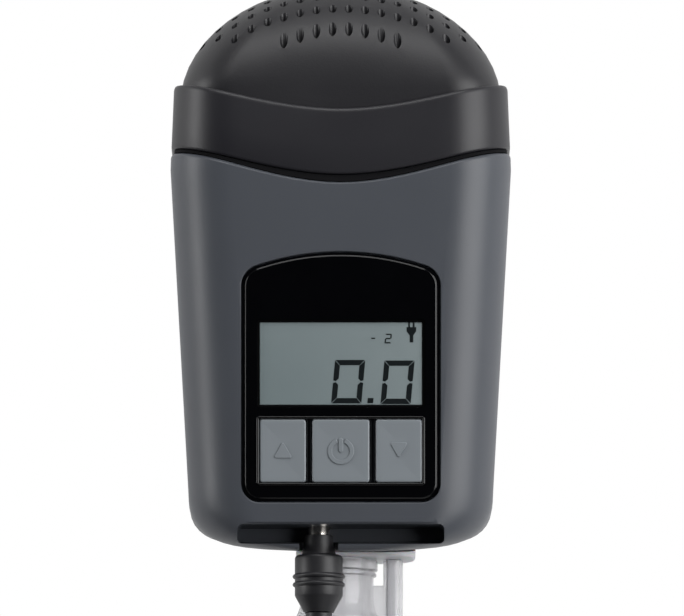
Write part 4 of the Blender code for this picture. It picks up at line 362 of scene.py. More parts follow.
def oblong(low, high, radius, steps=8):
    """The outline of a rectangle with round corners, between two corners."""
    (x0, y0), (x1, y1) = low, high
    left, right, lower, upper = x0 + radius, x1 - radius, y0 + radius, y1 - radius
    outline = []
    for i, (x, y) in enumerate(((right, lower), (right, upper), (left, upper), (left, lower))):
        outline += rounded(x, y, radius, i * 90 - 90, i * 90, steps)
    return outline


loop_tape, where, lay = start_finish("loop_tape", {"Sheen Weight": 0.4, "Sheen Roughness": 0.5})
pile = where.noise(3200, 4, 0.7)
patterned(lay, pile, (0.014, 0.014, 0.016), (0.05, 0.05, 0.055), 0.1, 0.82, 0.00012)
strap_near = inmost - crossing_dip - lead_width / 2 - 0.00144
strap_far = coil_reach - turn_pitch / 4 + lead_width / 2 + 0.0006
strap_rings = []
for side, grow in ((-0.0039, 0.0001), (-0.0038, 0.0006), (0.0038, 0.0006), (0.0039, 0.0001)):
    loop = oblong((-strap_far - grow, 0.0011 - grow), (-strap_near + grow, 0.0094 + grow), 0.0018 + grow)
    strap_rings.append([(side, y, z) for y, z in loop])
strap_place = Matrix.Translation((coil_middle.x, -0.16, 0))
cord_tie = settled("cord_strap", drawn(strap_rings, True, strap_place), loop_tape)
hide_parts("cord_tie")
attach(cord_tie, "power_lead")


# Housing. Two cups of charcoal grey ABS, moulded with a fine spark-eroded grain, meet on a fine line along
# the sides. The wedge has round corners, and its top edge dips in a wave at the middle of front and back.
front_slope, end_draft = math.radians(3.64), math.radians(8)
wall = 0.0022
curve_in_y = 0.0165
widest_y, widest_half = 0.0953, 0.042
side_taper, cap_taper = 0.0559, 0.035
front_low, back_low, end_plane_z = 0.0449, 0.0012, 0.0424
back_corner, front_corner = 0.012, 0.015
seam_y, seam_dip = 0.0993, 0.0087
port_x, sense_x, port_z = -0.0009, 0.0129, 0.018


def half_width(y):
    if y >= widest_y:
        return widest_half - cap_taper * (y - widest_y)
    straight = widest_half - side_taper * (widest_y - max(y, curve_in_y))
    return straight * (1 - max(0, 1 - y / curve_in_y) ** 2.35) ** 0.2


def front_height(y):
    return front_low + math.tan(front_slope) * min(y, widest_y) - cap_taper * max(0, y - widest_y)


def back_height(y):
    return back_low + cap_taper * max(0, y - widest_y)


def fallen(y, radius):
    return 0 if y >= radius else radius - math.sqrt(radius**2 - (radius - y) ** 2)


def section(half, low, high, low_corner, high_corner, flat_steps=14, steps=12):
    """A round-cornered section's points in X and Z, with more points along its front and back."""
    corners = (
        rounded(half - low_corner, low + low_corner, low_corner, -90, 0, steps),
        rounded(half - high_corner, high - high_corner, high_corner, 0, 90, steps),
        rounded(high_corner - half, high - high_corner, high_corner, 90, 180, steps),
        rounded(low_corner - half, low + low_corner, low_corner, 180, 270, steps),
    )
    points = []
    for i, corner in enumerate(corners):
        points += corner
        if i in (1, 3):
            a, b = corner[-1][0], corners[(i + 1) % 4][0][0]
            points += [(a + (b - a) * k / flat_steps, corner[-1][1]) for k in range(1, flat_steps)]
    return points


def seam(x):
    """The wave of the housing's top edge, lowest in the middle."""
    share = min(1, abs(x) / widest_half)
    return seam_y - seam_dip * (1 - share * share * (2 - share))


wave_starts_y = 0.078


def housing_ring(y, inset=0, seamed=True):
    """The housing's outline at a distance from its hose end, drawn in by an inset."""
    end_share = max(0, 1 - y / curve_in_y)
    seam_share = max(0, y - wave_starts_y) / (seam_y - wave_starts_y) * seamed
    low = back_height(y) + fallen(y, 0.004) + inset
    high = front_height(y) - fallen(y, 0.0025) - inset
    ring = []
    for x, z in section(half_width(y) - inset, low, high, back_corner - inset, front_corner - inset):
        drafted = end_share**2 * (end_plane_z - z) * math.tan(end_draft)
        at = y + inset * end_share + drafted + seam_share * (seam(x) - seam_y)
        drop = (front_height(y) - front_height(at)) * (z - low) / (high - low) if seam_share else 0
        ring.append((x, at + hose_end_y, z - drop))
    return ring


def case_stations(shares):
    """Distances of the rings: close together where the sides curve in, sparse where they run straight."""
    lower = [curve_in_y * (1 - share) for share in shares]
    upper = [wave_starts_y + (seam_y - wave_starts_y) * share for share in (0.2, 0.4, 0.6, 0.8)]
    return [*lower, 0.047, wave_starts_y, *upper]


def carve(piece, tool, operation="DIFFERENCE"):
    """Cuts a tool's shape out of a piece, or joins it or keeps only what they share, and drops the tool."""
    if isinstance(tool, bmesh.types.BMesh):
        tool = settled("tool", tool)
    cut = piece.modifiers.new("carve", "BOOLEAN")
    cut.object = tool
    cut.operation = operation
    cut.solver = "EXACT"
    shown = piece.evaluated_get(bpy.context.evaluated_depsgraph_get())
    mesh = bpy.data.meshes.new_from_object(shown)
    piece.modifiers.clear()
    piece.data = mesh
    bpy.data.objects.remove(tool, do_unlink=True)
    return piece


def edges_kept(piece, material=None, sharp=30):
    """Smooth again after carving, with flat faces kept flat right up to their round edges."""
    if material:
        piece.data.materials.append(material)
    piece.data.shade_smooth()
    piece.data.set_sharp_from_angle(angle=math.radians(sharp))
    weighted = piece.modifiers.new("flat faces", "WEIGHTED_NORMAL")
    weighted.keep_sharp = True
    weighted.weight = 80
    return piece


def block(low, high):
    """A cutting block between two corners."""
    bm = bmesh.new()
    size = Vector(high) - Vector(low)
    middle = (Vector(high) + Vector(low)) / 2
    bmesh.ops.create_cube(bm, size=1, matrix=Matrix.Translation(middle) @ Matrix.Diagonal((*size, 1)))
    return settled("tool", bm)


def drills(places, radius, low, high, matrix=None, steps=40):
    """Drills of one size, pointing up at each place."""
    bm = bmesh.new()
    for x, y in places:
        bmesh.ops.create_cone(
            bm, cap_ends=True, segments=steps, radius1=radius, radius2=radius, depth=high - low,
            matrix=Matrix.Translation((x, y, (low + high) / 2)))
    if matrix:
        bmesh.ops.transform(bm, matrix=matrix, verts=bm.verts)
    return settled("tool", bm)


fine_shares = (0.993, 0.98, 0.955, 0.92, 0.88, 0.83, 0.77, 0.7, 0.6, 0.48, 0.36, 0.18, 0)
coarse_shares = (0.95, 0.88, 0.77, 0.6, 0.36, 0)


def case_half(name, low, high):
    """One half of the housing, an inside and an outside skin cut off at its parting line."""
    outside = [housing_ring(y) for y in case_stations(fine_shares)]
    for drop, inset in ((0.0012, 0), (0.00085, 0.00006), (0.0005, 0.00022), (0.00015, 0.0006), (0, 0.0011)):
        outside.append(housing_ring(seam_y - drop, inset))
    inside = [housing_ring(y, wall) for y in (*case_stations(coarse_shares), seam_y)]
    shell = settled(name, drawn(outside + inside[::-1]))
    half = block((-0.09, hose_end_y - 0.003, low), (0.09, seam_y + hose_end_y + 0.003, high))
    return carve(shell, half, "INTERSECT")


def lengthwise(x, z, y=0):
    """A frame whose Z runs along the machine, from a place on its hose end."""
    return Matrix.Translation((x, hose_end_y + y, z)) @ along_y


def port_holes(case):
    for x, radius in ((port_x, 0.0107), (sense_x, 0.0036)):
        carve(case, drills([(0, 0)], radius, -0.003, 0.0076, lengthwise(x, port_z)))


on_front = Matrix.Translation((0, hose_end_y, front_low)) @ Matrix.Rotation(front_slope, 4, "X")


def panel_outline(margin=0, steps=10):
    """The display panel's outline: an arc on top, round shoulders and round lower corners."""
    half, arc_radius, shoulder, foot = 0.0242 + margin, 0.065 + margin, 0.005 + margin, 0.0044 + margin
    arc_v, foot_v = 0.0083, 0.0122 - margin + foot
    shoulder_x = half - shoulder
    shoulder_v = arc_v + math.sqrt((arc_radius - shoulder) ** 2 - shoulder_x**2)
    turn = math.degrees(math.atan2(shoulder_v - arc_v, shoulder_x))
    return (
        rounded(half - foot, foot_v, foot, -90, 0, steps)
        + rounded(shoulder_x, shoulder_v, shoulder, 0, turn, steps)
        + rounded(0, arc_v, arc_radius, turn, 180 - turn, steps * 2)[1:-1]
        + rounded(-shoulder_x, shoulder_v, shoulder, 180 - turn, 180, steps)
        + rounded(foot - half, foot_v, foot, 180, 270, steps)
    )


def stepped(outline, levels, closed=False):
    """A skin over one outline at several heights over the front, each with its own margin."""
    rings = [[(x, v, height) for x, v in outline(margin)] for margin, height in levels]
    return drawn(rings, closed, on_front)


parting_z, parting_gap = 0.018, 0.00015
front = case_half("front_shell", parting_z + parting_gap, 0.09)
lump_rings = [housing_ring(y, wall / 2, False) for y in (*case_stations(coarse_shares), seam_y)]
trough_half, trough_low, trough_high, trough_wall, trough_top = 0.02545, 0.0016, 0.0066, 0.0021, 0.048
trough_lining = block(
    (-trough_half - trough_wall, hose_end_y - 0.003, 0.0303),
    (trough_half + trough_wall, hose_end_y + trough_high + trough_wall, trough_top))
carve(front, carve(trough_lining, drawn(lump_rings), "INTERSECT"), "UNION")
recess_steps = in_mm((0.3, -1.9), (0.3, -0.25), (0.4, -0.08), (0.6, 0), (0.6, 3))
carve(front, stepped(panel_outline, recess_steps))
carve(front, stepped(
    lambda margin: oblong((-0.0229, 0.016), (0.0229, 0.0588), 0.0004, 2), ((0, -0.006), (0, 0.003))))
trough_rings = []
for z, grow in (
    (0.0324, 0), (0.0445, 0), (0.04475, 0.00006), (0.04492, 0.00022), (0.045, 0.0005),
    (0.0455, 0.0005), (trough_top, 0.0005),
):
    low = trough_low + (front_low - z) * math.tan(end_draft)
    mouth = oblong((-trough_half - grow, low - grow / 2), (trough_half + grow, trough_high + grow), 0.0012 + grow)
    trough_rings.append([(x, y + hose_end_y, z) for x, y in mouth])
carve(front, drawn(trough_rings))
plug_line = lengthwise(plug_x, plug_z, -0.003)
notch_half = 0.0048
notch = drills([(0, 0)], notch_half, 0, 0.0076, plug_line)
carve(notch, block(
    (plug_x - notch_half, hose_end_y - 0.003, plug_z),
    (plug_x + notch_half, hose_end_y + 0.0046, trough_top)), "UNION")
carve(front, notch)
carve(front, drills([(0, 0)], 0.00305, 0.0085, 0.0145, plug_line))
port_holes(front)
grey_abs = moulded("grey_abs", (0.066, 0.0725, 0.086), 0.42, grain=3000, depth=0.000025, mottle=0.04)
edges_kept(front, grey_abs)
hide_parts("front_case")
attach(front, "housing")

rear = case_half("rear_shell", 0, parting_z - parting_gap)
screw_places, foot_places = (
    [(side * x, y + hose_end_y) for x, y in places for side in (-1, 1)]
    for places in (((0.0295, 0.026), (0.0315, 0.0755)), ((0.0205, 0.02), (0.025, 0.084)))
)
carve(rear, drills(screw_places, 0.0032, back_low, parting_z - parting_gap), "UNION")
carve(rear, drills(screw_places, 0.0027, -0.003, 0.005))
carve(rear, drills(screw_places, 0.0015, 0, 0.02))
carve(rear, drills(foot_places, 0.0048, -0.003, 0.0022))
port_holes(rear)
edges_kept(rear, grey_abs)
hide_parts("rear_case")
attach(rear, "housing")


# Display panel. A polished black ABS plate sunk in the front, with a stepped edge, a fine raised bead round
# the keys and a flush window; it lies on the housing's ledge and is glued there.
panel = settled("panel", stepped(panel_outline, in_mm(
    (0, -1.6), (0, -0.22), (-0.06, -0.12), (-0.62, -0.1), (-0.68, -0.06),
    (-0.71, 0.06), (-0.76, 0.17), (-0.86, 0.26), (-1.02, 0.3))))


def box_outline(middle, half, low, high, radius, steps=8, least=0):
    """The outline of a box with round corners on the front, for any margin."""
    def outline(margin=0):
        corner = max(least, radius + margin)
        grown = half + margin
        return oblong((middle - grown, low - margin), (middle + grown, high + margin), corner, steps)
    return outline


bead = in_mm(
    (0, 0.1), (0, 0.34), (-0.05, 0.45), (-0.16, 0.53), (-0.3, 0.55),
    (-0.44, 0.53), (-0.55, 0.45), (-0.6, 0.34), (-0.6, 0.1))
key_field = box_outline(0, 0.0207, 0.01605, 0.03305, 0.0007)
carve(panel, stepped(key_field, bead, True), "UNION")
window = box_outline(0, 0.0206, 0.0352, 0.0568, 0.0008, 4)
carve(panel, stepped(window, in_mm((-0.6, -4), (-0.6, -0.7), (0.12, -0.7), (0.12, 3))))
key_pitch = 0.01425
key_row = {
    word: box_outline(middle, width / 2, 0.0168, 0.0323, 0.0007, 5, 0.0002)
    for word, middle, width in (("up", -key_pitch, 0.0114), ("power", 0, 0.0141), ("down", key_pitch, 0.0114))
}
for key_shape in key_row.values():
    carve(panel, stepped(key_shape, in_mm((0.3, -4), (0.3, 0.15), (0.45, 0.3), (0.45, 0.4))))
gloss_black, where, lay = start_finish("gloss_black", {"Specular IOR Level": 0.5})
smear = where.noise(140, 4, 0.6)
lay(
    Base_Color=smear.between((0.0012, 0.0013, 0.0018), (0.0022, 0.0023, 0.003)),
    Roughness=smear * 0.05 + 0.05,
    Normal=where.noise(320, 2).relief(0.000004, 0.3),
)
edges_kept(panel, gloss_black)
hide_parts("display_fascia")
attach(panel, "housing")


# Window and display. A hard-coated acrylic window lies flush in the panel; under it is the reflective liquid
# crystal glass, with its dark segments showing 0.0, a mode number and the mains sign.
lens_steps = in_mm((0, -0.2), (0, 0.1), (-0.05, 0.22), (-0.15, 0.3))
lens = settled("window_lens", stepped(window, lens_steps))
clear_acrylic, where, lay = start_finish("clear_acrylic", {"Alpha": 0.06, "IOR": 1.49})
lay(
    Base_Color=where.noise(60).between((0.02, 0.02, 0.02), (0.03, 0.03, 0.03)),
    Roughness=where.noise(500, 3) * 0.03 + 0.03,
)
edges_kept(lens, clear_acrylic)
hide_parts("display_lens")
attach(lens, "housing")

grey_crystal, where, lay = start_finish("grey_crystal", {"Specular IOR Level": 0.4})
# Painted light: the glass is painted lighter towards its right side and towards the cap end, as light falls on it.
# The noise is its own uneven tone.
painted_light_to_right, along = where.axis(0).over(-0.012, 0.02), where.axis(1).over(-0.024, -0.003)
light = painted_light_to_right * 0.45 + along * 0.2 + where.noise(90, 2) * 0.35
lay(
    Base_Color=light.between((0.215, 0.268, 0.28), (0.31, 0.365, 0.375)),
    Roughness=where.noise(4000, 2) * 0.1 + 0.3,
    Normal=where.noise(6000, 2).relief(0.000004, 0.3),
)
glass = settled("display_glass", stepped(window, in_mm(
    (2, -4.6), (2, -2.3), (1.9, -2.2), (-0.7, -2.2), (-0.7, -0.5),
    (-0.78, -0.42))))
edges_kept(glass, grey_crystal)
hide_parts("lcd_module")
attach(glass, "housing")

segment_black, where, lay = start_finish("segment_black", {})
lay(
    Base_Color=where.noise(800).between((0.0015, 0.0045, 0.006), (0.003, 0.007, 0.009)),
    Roughness=where.noise(900) * 0.1 + 0.3,
)
pixel = 0.0002471
glass_top, figure_rise = -0.00043, 0.00005


def display_point(px, py):
    """A place on the display's glass from the photograph's pixels."""
    rise = (551 - py) * pixel
    return (px - 340.8) * pixel, (rise - 0.00033) / 0.99875


def plate(bm, outline):
    """A thin plate on the glass, over an outline in pixels."""
    face = bm.faces.new([bm.verts.new((*display_point(*place), glass_top)) for place in outline])
    solid = bmesh.ops.extrude_face_region(bm, geom=[face])["geom"]
    lifted = [part for part in solid if isinstance(part, bmesh.types.BMVert)]
    bmesh.ops.translate(bm, vec=(0, 0, figure_rise), verts=lifted)


def seven_segments(bm, left, top, width, height, slant, stroke, lit):
    """One figure's lit segments; their names go round from the top, with g in the middle."""
    gap, half, middle = stroke * 0.1, stroke / 2, height / 2
    above, below, tip = middle - gap, middle + gap, half * 0.3
    inner, foot, waist = width - stroke, height - stroke, width - half
    bars = {
        "a": ((gap, 0), (width - gap, 0), (inner, stroke), (stroke, stroke)),
        "b": ((width, gap), (width, above - tip), (waist, above), (inner, above - half), (inner, stroke + gap)),
        "c": ((width, below + tip), (width, height - gap), (inner, foot - gap), (inner, below + half),
              (waist, below)),
        "d": ((stroke, foot), (inner, foot), (width - gap, height), (gap, height)),
        "e": ((0, below + tip), (half, below), (stroke, below + half), (stroke, foot - gap), (0, height - gap)),
        "f": ((0, gap), (stroke, stroke + gap), (stroke, above - half), (half, above), (0, above - tip)),
        "g": ((half, middle), (stroke, middle - half), (inner, middle - half),
              (waist, middle), (inner, middle + half), (stroke, middle + half)),
    }
    for name in lit:
        plate(bm, [(left + x + slant * (height - y) / height, top + y) for x, y in bars[name]])


figures = bmesh.new()
seven_segments(figures, 331.2, 360, 30, 43.2, 4, 5.3, "abcdef")
seven_segments(figures, 380.2, 360.6, 30, 43.2, 4, 5.3, "abcdef")
seven_segments(figures, 384.2, 334, 6.6, 9.6, 0.8, 1.3, "abged")
for outline in (
    ((367.6, 397.8), (373.4, 397.8), (373.0, 403), (367.2, 403)),
    ((371.0, 337.9), (375.0, 337.9), (375.0, 339.2), (371.0, 339.2)),
    ((407.9, 322.8), (409.7, 322.8), (409.7, 327.6), (407.9, 327.6)),
    ((412.4, 322.8), (414.2, 322.8), (414.2, 327.6), (412.4, 327.6)),
    ((406.2, 327.4), (415.8, 327.4), (415.8, 331.6), (413.0, 335.4), (409.2, 335.4), (406.2, 331.6)),
    ((409.3, 335.2), (412.9, 335.2), (412.9, 342.6), (409.3, 342.6)),
):
    plate(figures, outline)
bmesh.ops.recalc_face_normals(figures, faces=figures.faces)
bmesh.ops.transform(figures, matrix=on_front, verts=figures.verts)
figures = settled("display_figures", figures, segment_black)
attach(figures, "housing")


# Keys. Three silicone-backed ABS caps, painted satin grey, with soft edges and a shallow dish; each has its
# sign raised on it and stands a little proud of the panel.
key_paint = moulded("key_paint", (0.222, 0.246, 0.267), 0.36, grain=3400, depth=0.000012, mottle=0.03)


def triangle(middle, point_v, base_v, half):
    """A raised triangle's outline, for any margin, with each corner cut off a little."""
    corners = [Vector(place) for place in ((middle, point_v), (middle - half, base_v), (middle + half, base_v))]
    centre = sum(corners, Vector((0, 0))) / 3

    def outline(margin=0):
        found = []
        for i, corner in enumerate(corners):
            for other in (corners[i - 1], corners[(i + 1) % 3]):
                place = corner.lerp(other, 0.1)
                found.append(place + (place - centre).normalized() * margin * 1.6)
        return found
    return outline


def power_ring(margin=0):
    gap = math.degrees((0.00105 - margin) / 0.0027)
    middle = 0.02445
    outer = rounded(0, middle, 0.00315 + margin, 90 + gap, 450 - gap, 48)
    return outer + rounded(0, middle, 0.00225 - margin, 450 - gap, 90 + gap, 48)


signs = {
    "up": [triangle(-key_pitch, 0.02665, 0.02285, 0.00222)],
    "power": [power_ring, box_outline(0, 0.00047, 0.0243, 0.0276, 0.0004, 4)],
    "down": [triangle(key_pitch, 0.02285, 0.02655, 0.0021)],
}
sign_steps = in_mm((0.1, 0.1), (0.1, 0.32), (0.04, 0.45), (-0.06, 0.5))
for word, key_shape in key_row.items():
    cap = settled(f"key_{word}_cap", stepped(key_shape, in_mm(
        (0.5, -2.9), (0.5, -1.9), (0, -1.9), (0, 0.02), (-0.04, 0.16),
        (-0.13, 0.28), (-0.27, 0.36), (-0.45, 0.4), (-1.2, 0.38), (-2.5, 0.3),
        (-4, 0.24), (-5.2, 0.22))))
    for sign in signs[word]:
        carve(cap, stepped(sign, sign_steps), "UNION")
    edges_kept(cap, key_paint, 35)
    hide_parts(f"button_{word}")
    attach(cap, f"key_{word}")


# Inlet neck and its seal. A black moulded frame stands in the housing's open top, with a barred grid that the
# filter lies on and a lip that fills the joint under the cap; a pale silicone ring in its groove holds the cap.
def contour(y, inset, at=None, **steps):
    """The housing's or cap's flat outline at a distance from the hose end; at moves each point along by its X."""
    outline = section(
        half_width(y) - inset, back_height(y) + inset, front_height(y) - inset,
        back_corner - inset, front_corner - inset, **steps)
    return [(x, (y if at is None else at(x)) + hose_end_y, z) for x, z in outline]


def crown(x):
    """From 1 in the middle of the machine to 0 at its sides."""
    return math.cos(math.pi * x / (widest_half * 2)) ** 2


def band_low(x):
    """The cap band's lower edge, a little above the housing's wave."""
    return seam(x) + 0.001 + 0.0009 * crown(x)


neck_black = moulded(
    "neck_black", (0.004, 0.004, 0.005), 0.85, grain=2400, depth=0.00002, Specular_IOR_Level=0.15)
neck_profile = in_mm(
    (2.5, 86), (2.5, 99.6), (1.9, 99.6), (1.9, 101.4), (2.8, 101.4), (2.8, 103.4),
    (1.9, 103.4), (1.9, 104), (2.1, 104.2), (4.1, 104.2), (4.3, 104), (4.3, 86.2),
    (4.1, 86))
neck = settled("inlet_neck", drawn([contour(y, inset) for inset, y in neck_profile], True))
grid = settled("tool", drawn([contour(y, 0.0034) for y in (0.0965, 0.0983)]))
slot_pitch, slot_half_width, slot_half_height, slot_middle = 0.0118, 0.0045, 0.016, 0.02625
for i in range(-2, 3):
    slot_outline = oblong(
        (i * slot_pitch - slot_half_width, slot_middle - slot_half_height),
        (i * slot_pitch + slot_half_width, slot_middle + slot_half_height), 0.001, 4)
    carve(grid, drawn([[(x, y + hose_end_y, z) for x, z in slot_outline] for y in (0.0935, 0.1013)]))
carve(neck, grid, "UNION")
# The lip is black neck plastic brought out into the joint under the band. Its darkness there is partly a real
# black part and partly painted shade, standing in for the joint's shadow.
lip_profile = (
    (0.0027, seam, 0.00015), (0.0008, seam, 0.00015), (0.0008, band_low, -0.0002), (0.0027, band_low, -0.0002))
lip_rings = [
    contour(seam_y, inset, lambda x, edge=edge, shift=shift: edge(x) + shift, flat_steps=24)
    for inset, edge, shift in lip_profile
]
carve(neck, drawn(lip_rings, True), "UNION")
edges_kept(neck, neck_black)
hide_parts("inlet_frame")
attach(neck, "housing")

pale_silicone = moulded(
    "pale_silicone", (0.46, 0.46, 0.47), 0.5, grain=900, depth=0.00001,
    Subsurface_Weight=0.15, Subsurface_Scale=0.002)
seal_profile = in_mm(
    (1.9, 101.9), (1.95, 101.7), (2.5, 101.7), (2.5, 103.1), (1.95, 103.1), (1.9, 102.9))
seal = settled("cap_seal_ring", drawn([contour(y, inset) for inset, y in seal_profile], True), pale_silicone)
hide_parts("cap_seal")
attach(seal, "housing")


# Filter cap. A smooth black band whose lower edge follows the housing's wave, and a matt perforated dome set
# in it, both moulded ABS; the dome's round holes are drilled straight along the machine.
band_profile = in_mm(
    (1.6, 0, 0.2), (1.4, 0, 0), (0.7, 0, 0), (0.4, 0, 0.1), (0.2, 0, 0.3),
    (0.1, 0, 0.6), (0.1, 8, -0.6), (0.1, 16, -1.3), (0.17, 16, -0.85),
    (0.34, 16, -0.4), (0.6, 16, -0.12), (0.9, 16, 0), (1.4, 16, 0),
    (1.6, 16, -0.2), (1.6, 8, 0))


def band_ring(inset, rise, shift):
    """The band's outline at a rise over its wavy lower edge; the upper edge waves a little more."""
    return contour(
        seam_y + rise, inset, lambda x: band_low(x) + rise * (1 + 0.03 * crown(x)) + shift, flat_steps=24)


band_black = moulded("band_black", (0.0125, 0.0122, 0.016), 0.43, grain=3000, depth=0.000016, mottle=0.05)
band = settled("cap_band_ring", drawn([band_ring(*place) for place in band_profile], True), band_black)
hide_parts("cap_band")
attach(band, "cap")

dome_foot, dome_rise, dome_wall = 0.1142, 0.0278, 0.0016
dome_middle_z = (front_height(dome_foot) + back_height(dome_foot)) / 2
dome_half_depth = (front_height(dome_foot) - back_height(dome_foot)) / 2


def dome_ring(rise, inset):
    """The dome's outline at a rise over its foot, where it is a round-cornered section, to its top, an ellipse."""
    drop = min(1, max(0, rise) / (dome_rise - inset))
    scale = math.sqrt(1 - drop * drop)
    inset += 0.0019
    half, depth = half_width(dome_foot) - inset, dome_half_depth - inset
    ring = []
    for x, z in section(half, -depth, depth, back_corner - inset, front_corner - inset, flat_steps=12):
        angle = math.atan2(z / depth, x / half)
        x += (half * math.cos(angle) - x) * drop
        z += (depth * math.sin(angle) - z) * drop
        ring.append((x * scale, dome_foot + hose_end_y + rise, dome_middle_z + z * scale))
    return ring


dome_angles = (0, 7, 14, 21, 28, 35, 42, 49, 56, 62, 68, 74, 79, 84, 88)
outer_skin, inner_skin = (
    [dome_ring(math.sin(math.radians(angle)) * (dome_rise - inset), inset) for angle in dome_angles]
    for inset in (0, dome_wall)
)
skirt = dome_ring(-0.0094, 0)
dome = settled("perforated_dome", drawn([*outer_skin[::-1], skirt, *inner_skin]))
hole_radius, column_pitch, row_pitch, row_bend = 0.00097, 0.004, 0.0037, 185
holed_half_width, holed_half_depth = 0.0372, 0.0207
hole_places = []
for row in range(-2, 6):
    for column in range(-10, 10):
        x, z = (column + 0.5) * column_pitch, row * row_pitch
        if (x / holed_half_width) ** 2 + (z / holed_half_depth) ** 2 <= 1:
            hole_places.append((x, -z * (1.01 + row_bend * x * x)))
carve(dome, drills(hole_places, hole_radius, 0, 0.031, lengthwise(0, dome_middle_z, dome_foot), steps=16))
dome_black = moulded("dome_black", (0.0125, 0.0122, 0.015), 0.43, grain=1700, depth=0.00004, mottle=0.1)
edges_kept(dome, dome_black, 32)
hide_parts("dome_grille")
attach(dome, "cap")


# Filter and muffler pads. A pad of white felted fibre lies inside the dome against the grid, and a slab of
# dark open-cell foam under the neck quiets the air; both are cut from sheet and held by their rims.
filter_rings = [
    [(x, y + hose_end_y, z) for x, _, z in dome_ring(0, inset)]
    for inset, y in in_mm(
        (8, 104.5), (3.6, 104.6), (2.7, 104.8), (2.3, 105.3), (2.2, 106), (2.4, 107.1),
        (2.2, 108.2), (2.3, 108.8), (2.7, 109.2), (3.6, 109.4), (6, 109.6), (12, 109.68))
]
felt, where, lay = start_finish("felted_fibre", {"Sheen Weight": 0.3, "Sheen Roughness": 0.6})
fibre = where.noise(1500, 5, 0.7)
patterned(lay, fibre, (0.6, 0.61, 0.61), (0.84, 0.85, 0.85), 0.08, 0.88, 0.0002)
filter_pad = settled("filter_felt", drawn(filter_rings), felt, 60)
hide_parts("filter_pad")
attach(filter_pad, "cap")

foam_rings = [
    housing_ring(y, inset, False)
    for y, inset in in_mm(
        (79.9, 6), (79.95, 3.6), (80.2, 3), (80.8, 2.8), (82.8, 3.1), (84.8, 2.8),
        (85.4, 3), (85.65, 3.6), (85.7, 6))
]
cell_foam, where, lay = start_finish("open_cell_foam", {})
cells = where.node("ShaderNodeTexVoronoi", {}, {"Vector": where, "Scale": 1400})
patterned(lay, cells, (0.03, 0.03, 0.033), (0.16, 0.16, 0.17), 0.05, 0.92, 0.0004, 1)
foam = settled("muffler_slab", drawn(foam_rings), cell_foam, 60)
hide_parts("muffler_foam")
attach(foam, "housing")


# Hose adapter. A clear polycarbonate tube with a spigot for the machine, two turned rings, a neck and a cone
# for the hose, and a thin sensing tube joined to it by a web. A soft grey collar lies between it and the case.
port_foot = Vector((port_x, hose_end_y, port_z))
sense_line = lengthwise(sense_x, port_z)
adapter_bore = in_mm(
    (6.8, -11.8), (7, -12.8), (7.4, -13.6), (7.9, -14.5), (8.4, -15.5),
    (8.7, -16.3), (9.3, -23.9))
adapter = turned("adapter_tube", [*in_mm(
    (6.8, 14), (7.7, 14), (8, 13.5), (8, 0.1), (9.8, 0.1), (10, -0.1),
    (10, -2.3), (9.8, -2.5), (9.2, -2.5), (9, -2.7), (9, -2.9),
    (9.2, -3.1), (9.6, -3.1), (9.7, -3.2), (9.7, -3.7), (9.6, -3.8),
    (9.2, -3.8), (9, -4), (9, -9.5), (9.08, -10.5), (9.3, -11.6),
    (9.7, -12.8), (10.2, -14), (10.45, -15), (11, -23.7), (10.9, -24),
    (9.4, -24)), *adapter_bore[::-1]], port_foot, None, steps=72)
carve(adapter, drills([(0, 0)], 0.0024, -0.024, 0.0001, sense_line, 32), "UNION")
carve(adapter, drills([(0, 0)], 0.0017, -0.0045, 0.0095, sense_line, 24), "UNION")
web_half = 0.0009
carve(adapter, block(
    (port_x + 0.0081, hose_end_y - 0.0237, port_z - web_half),
    (sense_x - 0.0012, hose_end_y - 0.0061, port_z + web_half)), "UNION")
bore_tool = [*in_mm((0, 17), (6.8, 17)), *adapter_bore, *in_mm((9.3, -27), (0, -27))]
carve(adapter, turned("tool", bore_tool, port_foot, None, steps=72))
carve(adapter, drills([(0, 0)], 0.0013, -0.027, 0.0125, sense_line, 24))
clear_tube, where, lay = start_finish("clear_polycarbonate", {"IOR": 1.45, "Transmission Weight": 0.75})
haze = where.noise(260, 3)
lay(
    Base_Color=haze.between((0.8, 0.8, 0.82), (0.9, 0.9, 0.92)),
    Roughness=haze * 0.12 + 0.16,
    Normal=where.noise(120, 2).relief(0.00006, 0.3),
)
edges_kept(adapter, clear_tube, 40)
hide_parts("hose_adapter")
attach(adapter, "adapter")


collar_half = 0.0116
collar_outline = box_outline(0.0037, 0.01475, port_z - collar_half, port_z + collar_half, 0.0085, 14)
collar_rings = [
    [(x, hose_end_y + y, z) for x, z in collar_outline(margin)]
    for margin, y in in_mm(
        (-0.9, 0.4), (-0.5, 0.48), (-0.2, 0.7), (-0.05, 1), (0, 1.4), (0, 9))
]
collar = settled("soft_collar", drawn(collar_rings))
behind_end = block((-0.08, 0, -0.08), (0.08, 0.08, 0.08))
behind_end.data.transform(
    Matrix.Translation((0, hose_end_y + 0.005959 - 0.0006, 0)) @ Matrix.Rotation(end_draft, 4, "X"))
carve(collar, behind_end)
carve(collar, drills([(0, 0)], 0.0083, -0.0042, 0.012, lengthwise(port_x, port_z), 48))
carve(collar, drills([(0, 0)], 0.002, -0.0042, 0.012, sense_line, 24))
collar_rubber = moulded(
    "collar_rubber", (0.74, 0.735, 0.77), 0.45, grain=1600, depth=0.00001,
    Subsurface_Weight=0.2, Subsurface_Scale=0.002)
edges_kept(collar, collar_rubber, 35)
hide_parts("adapter_collar")
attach(collar, "adapter")


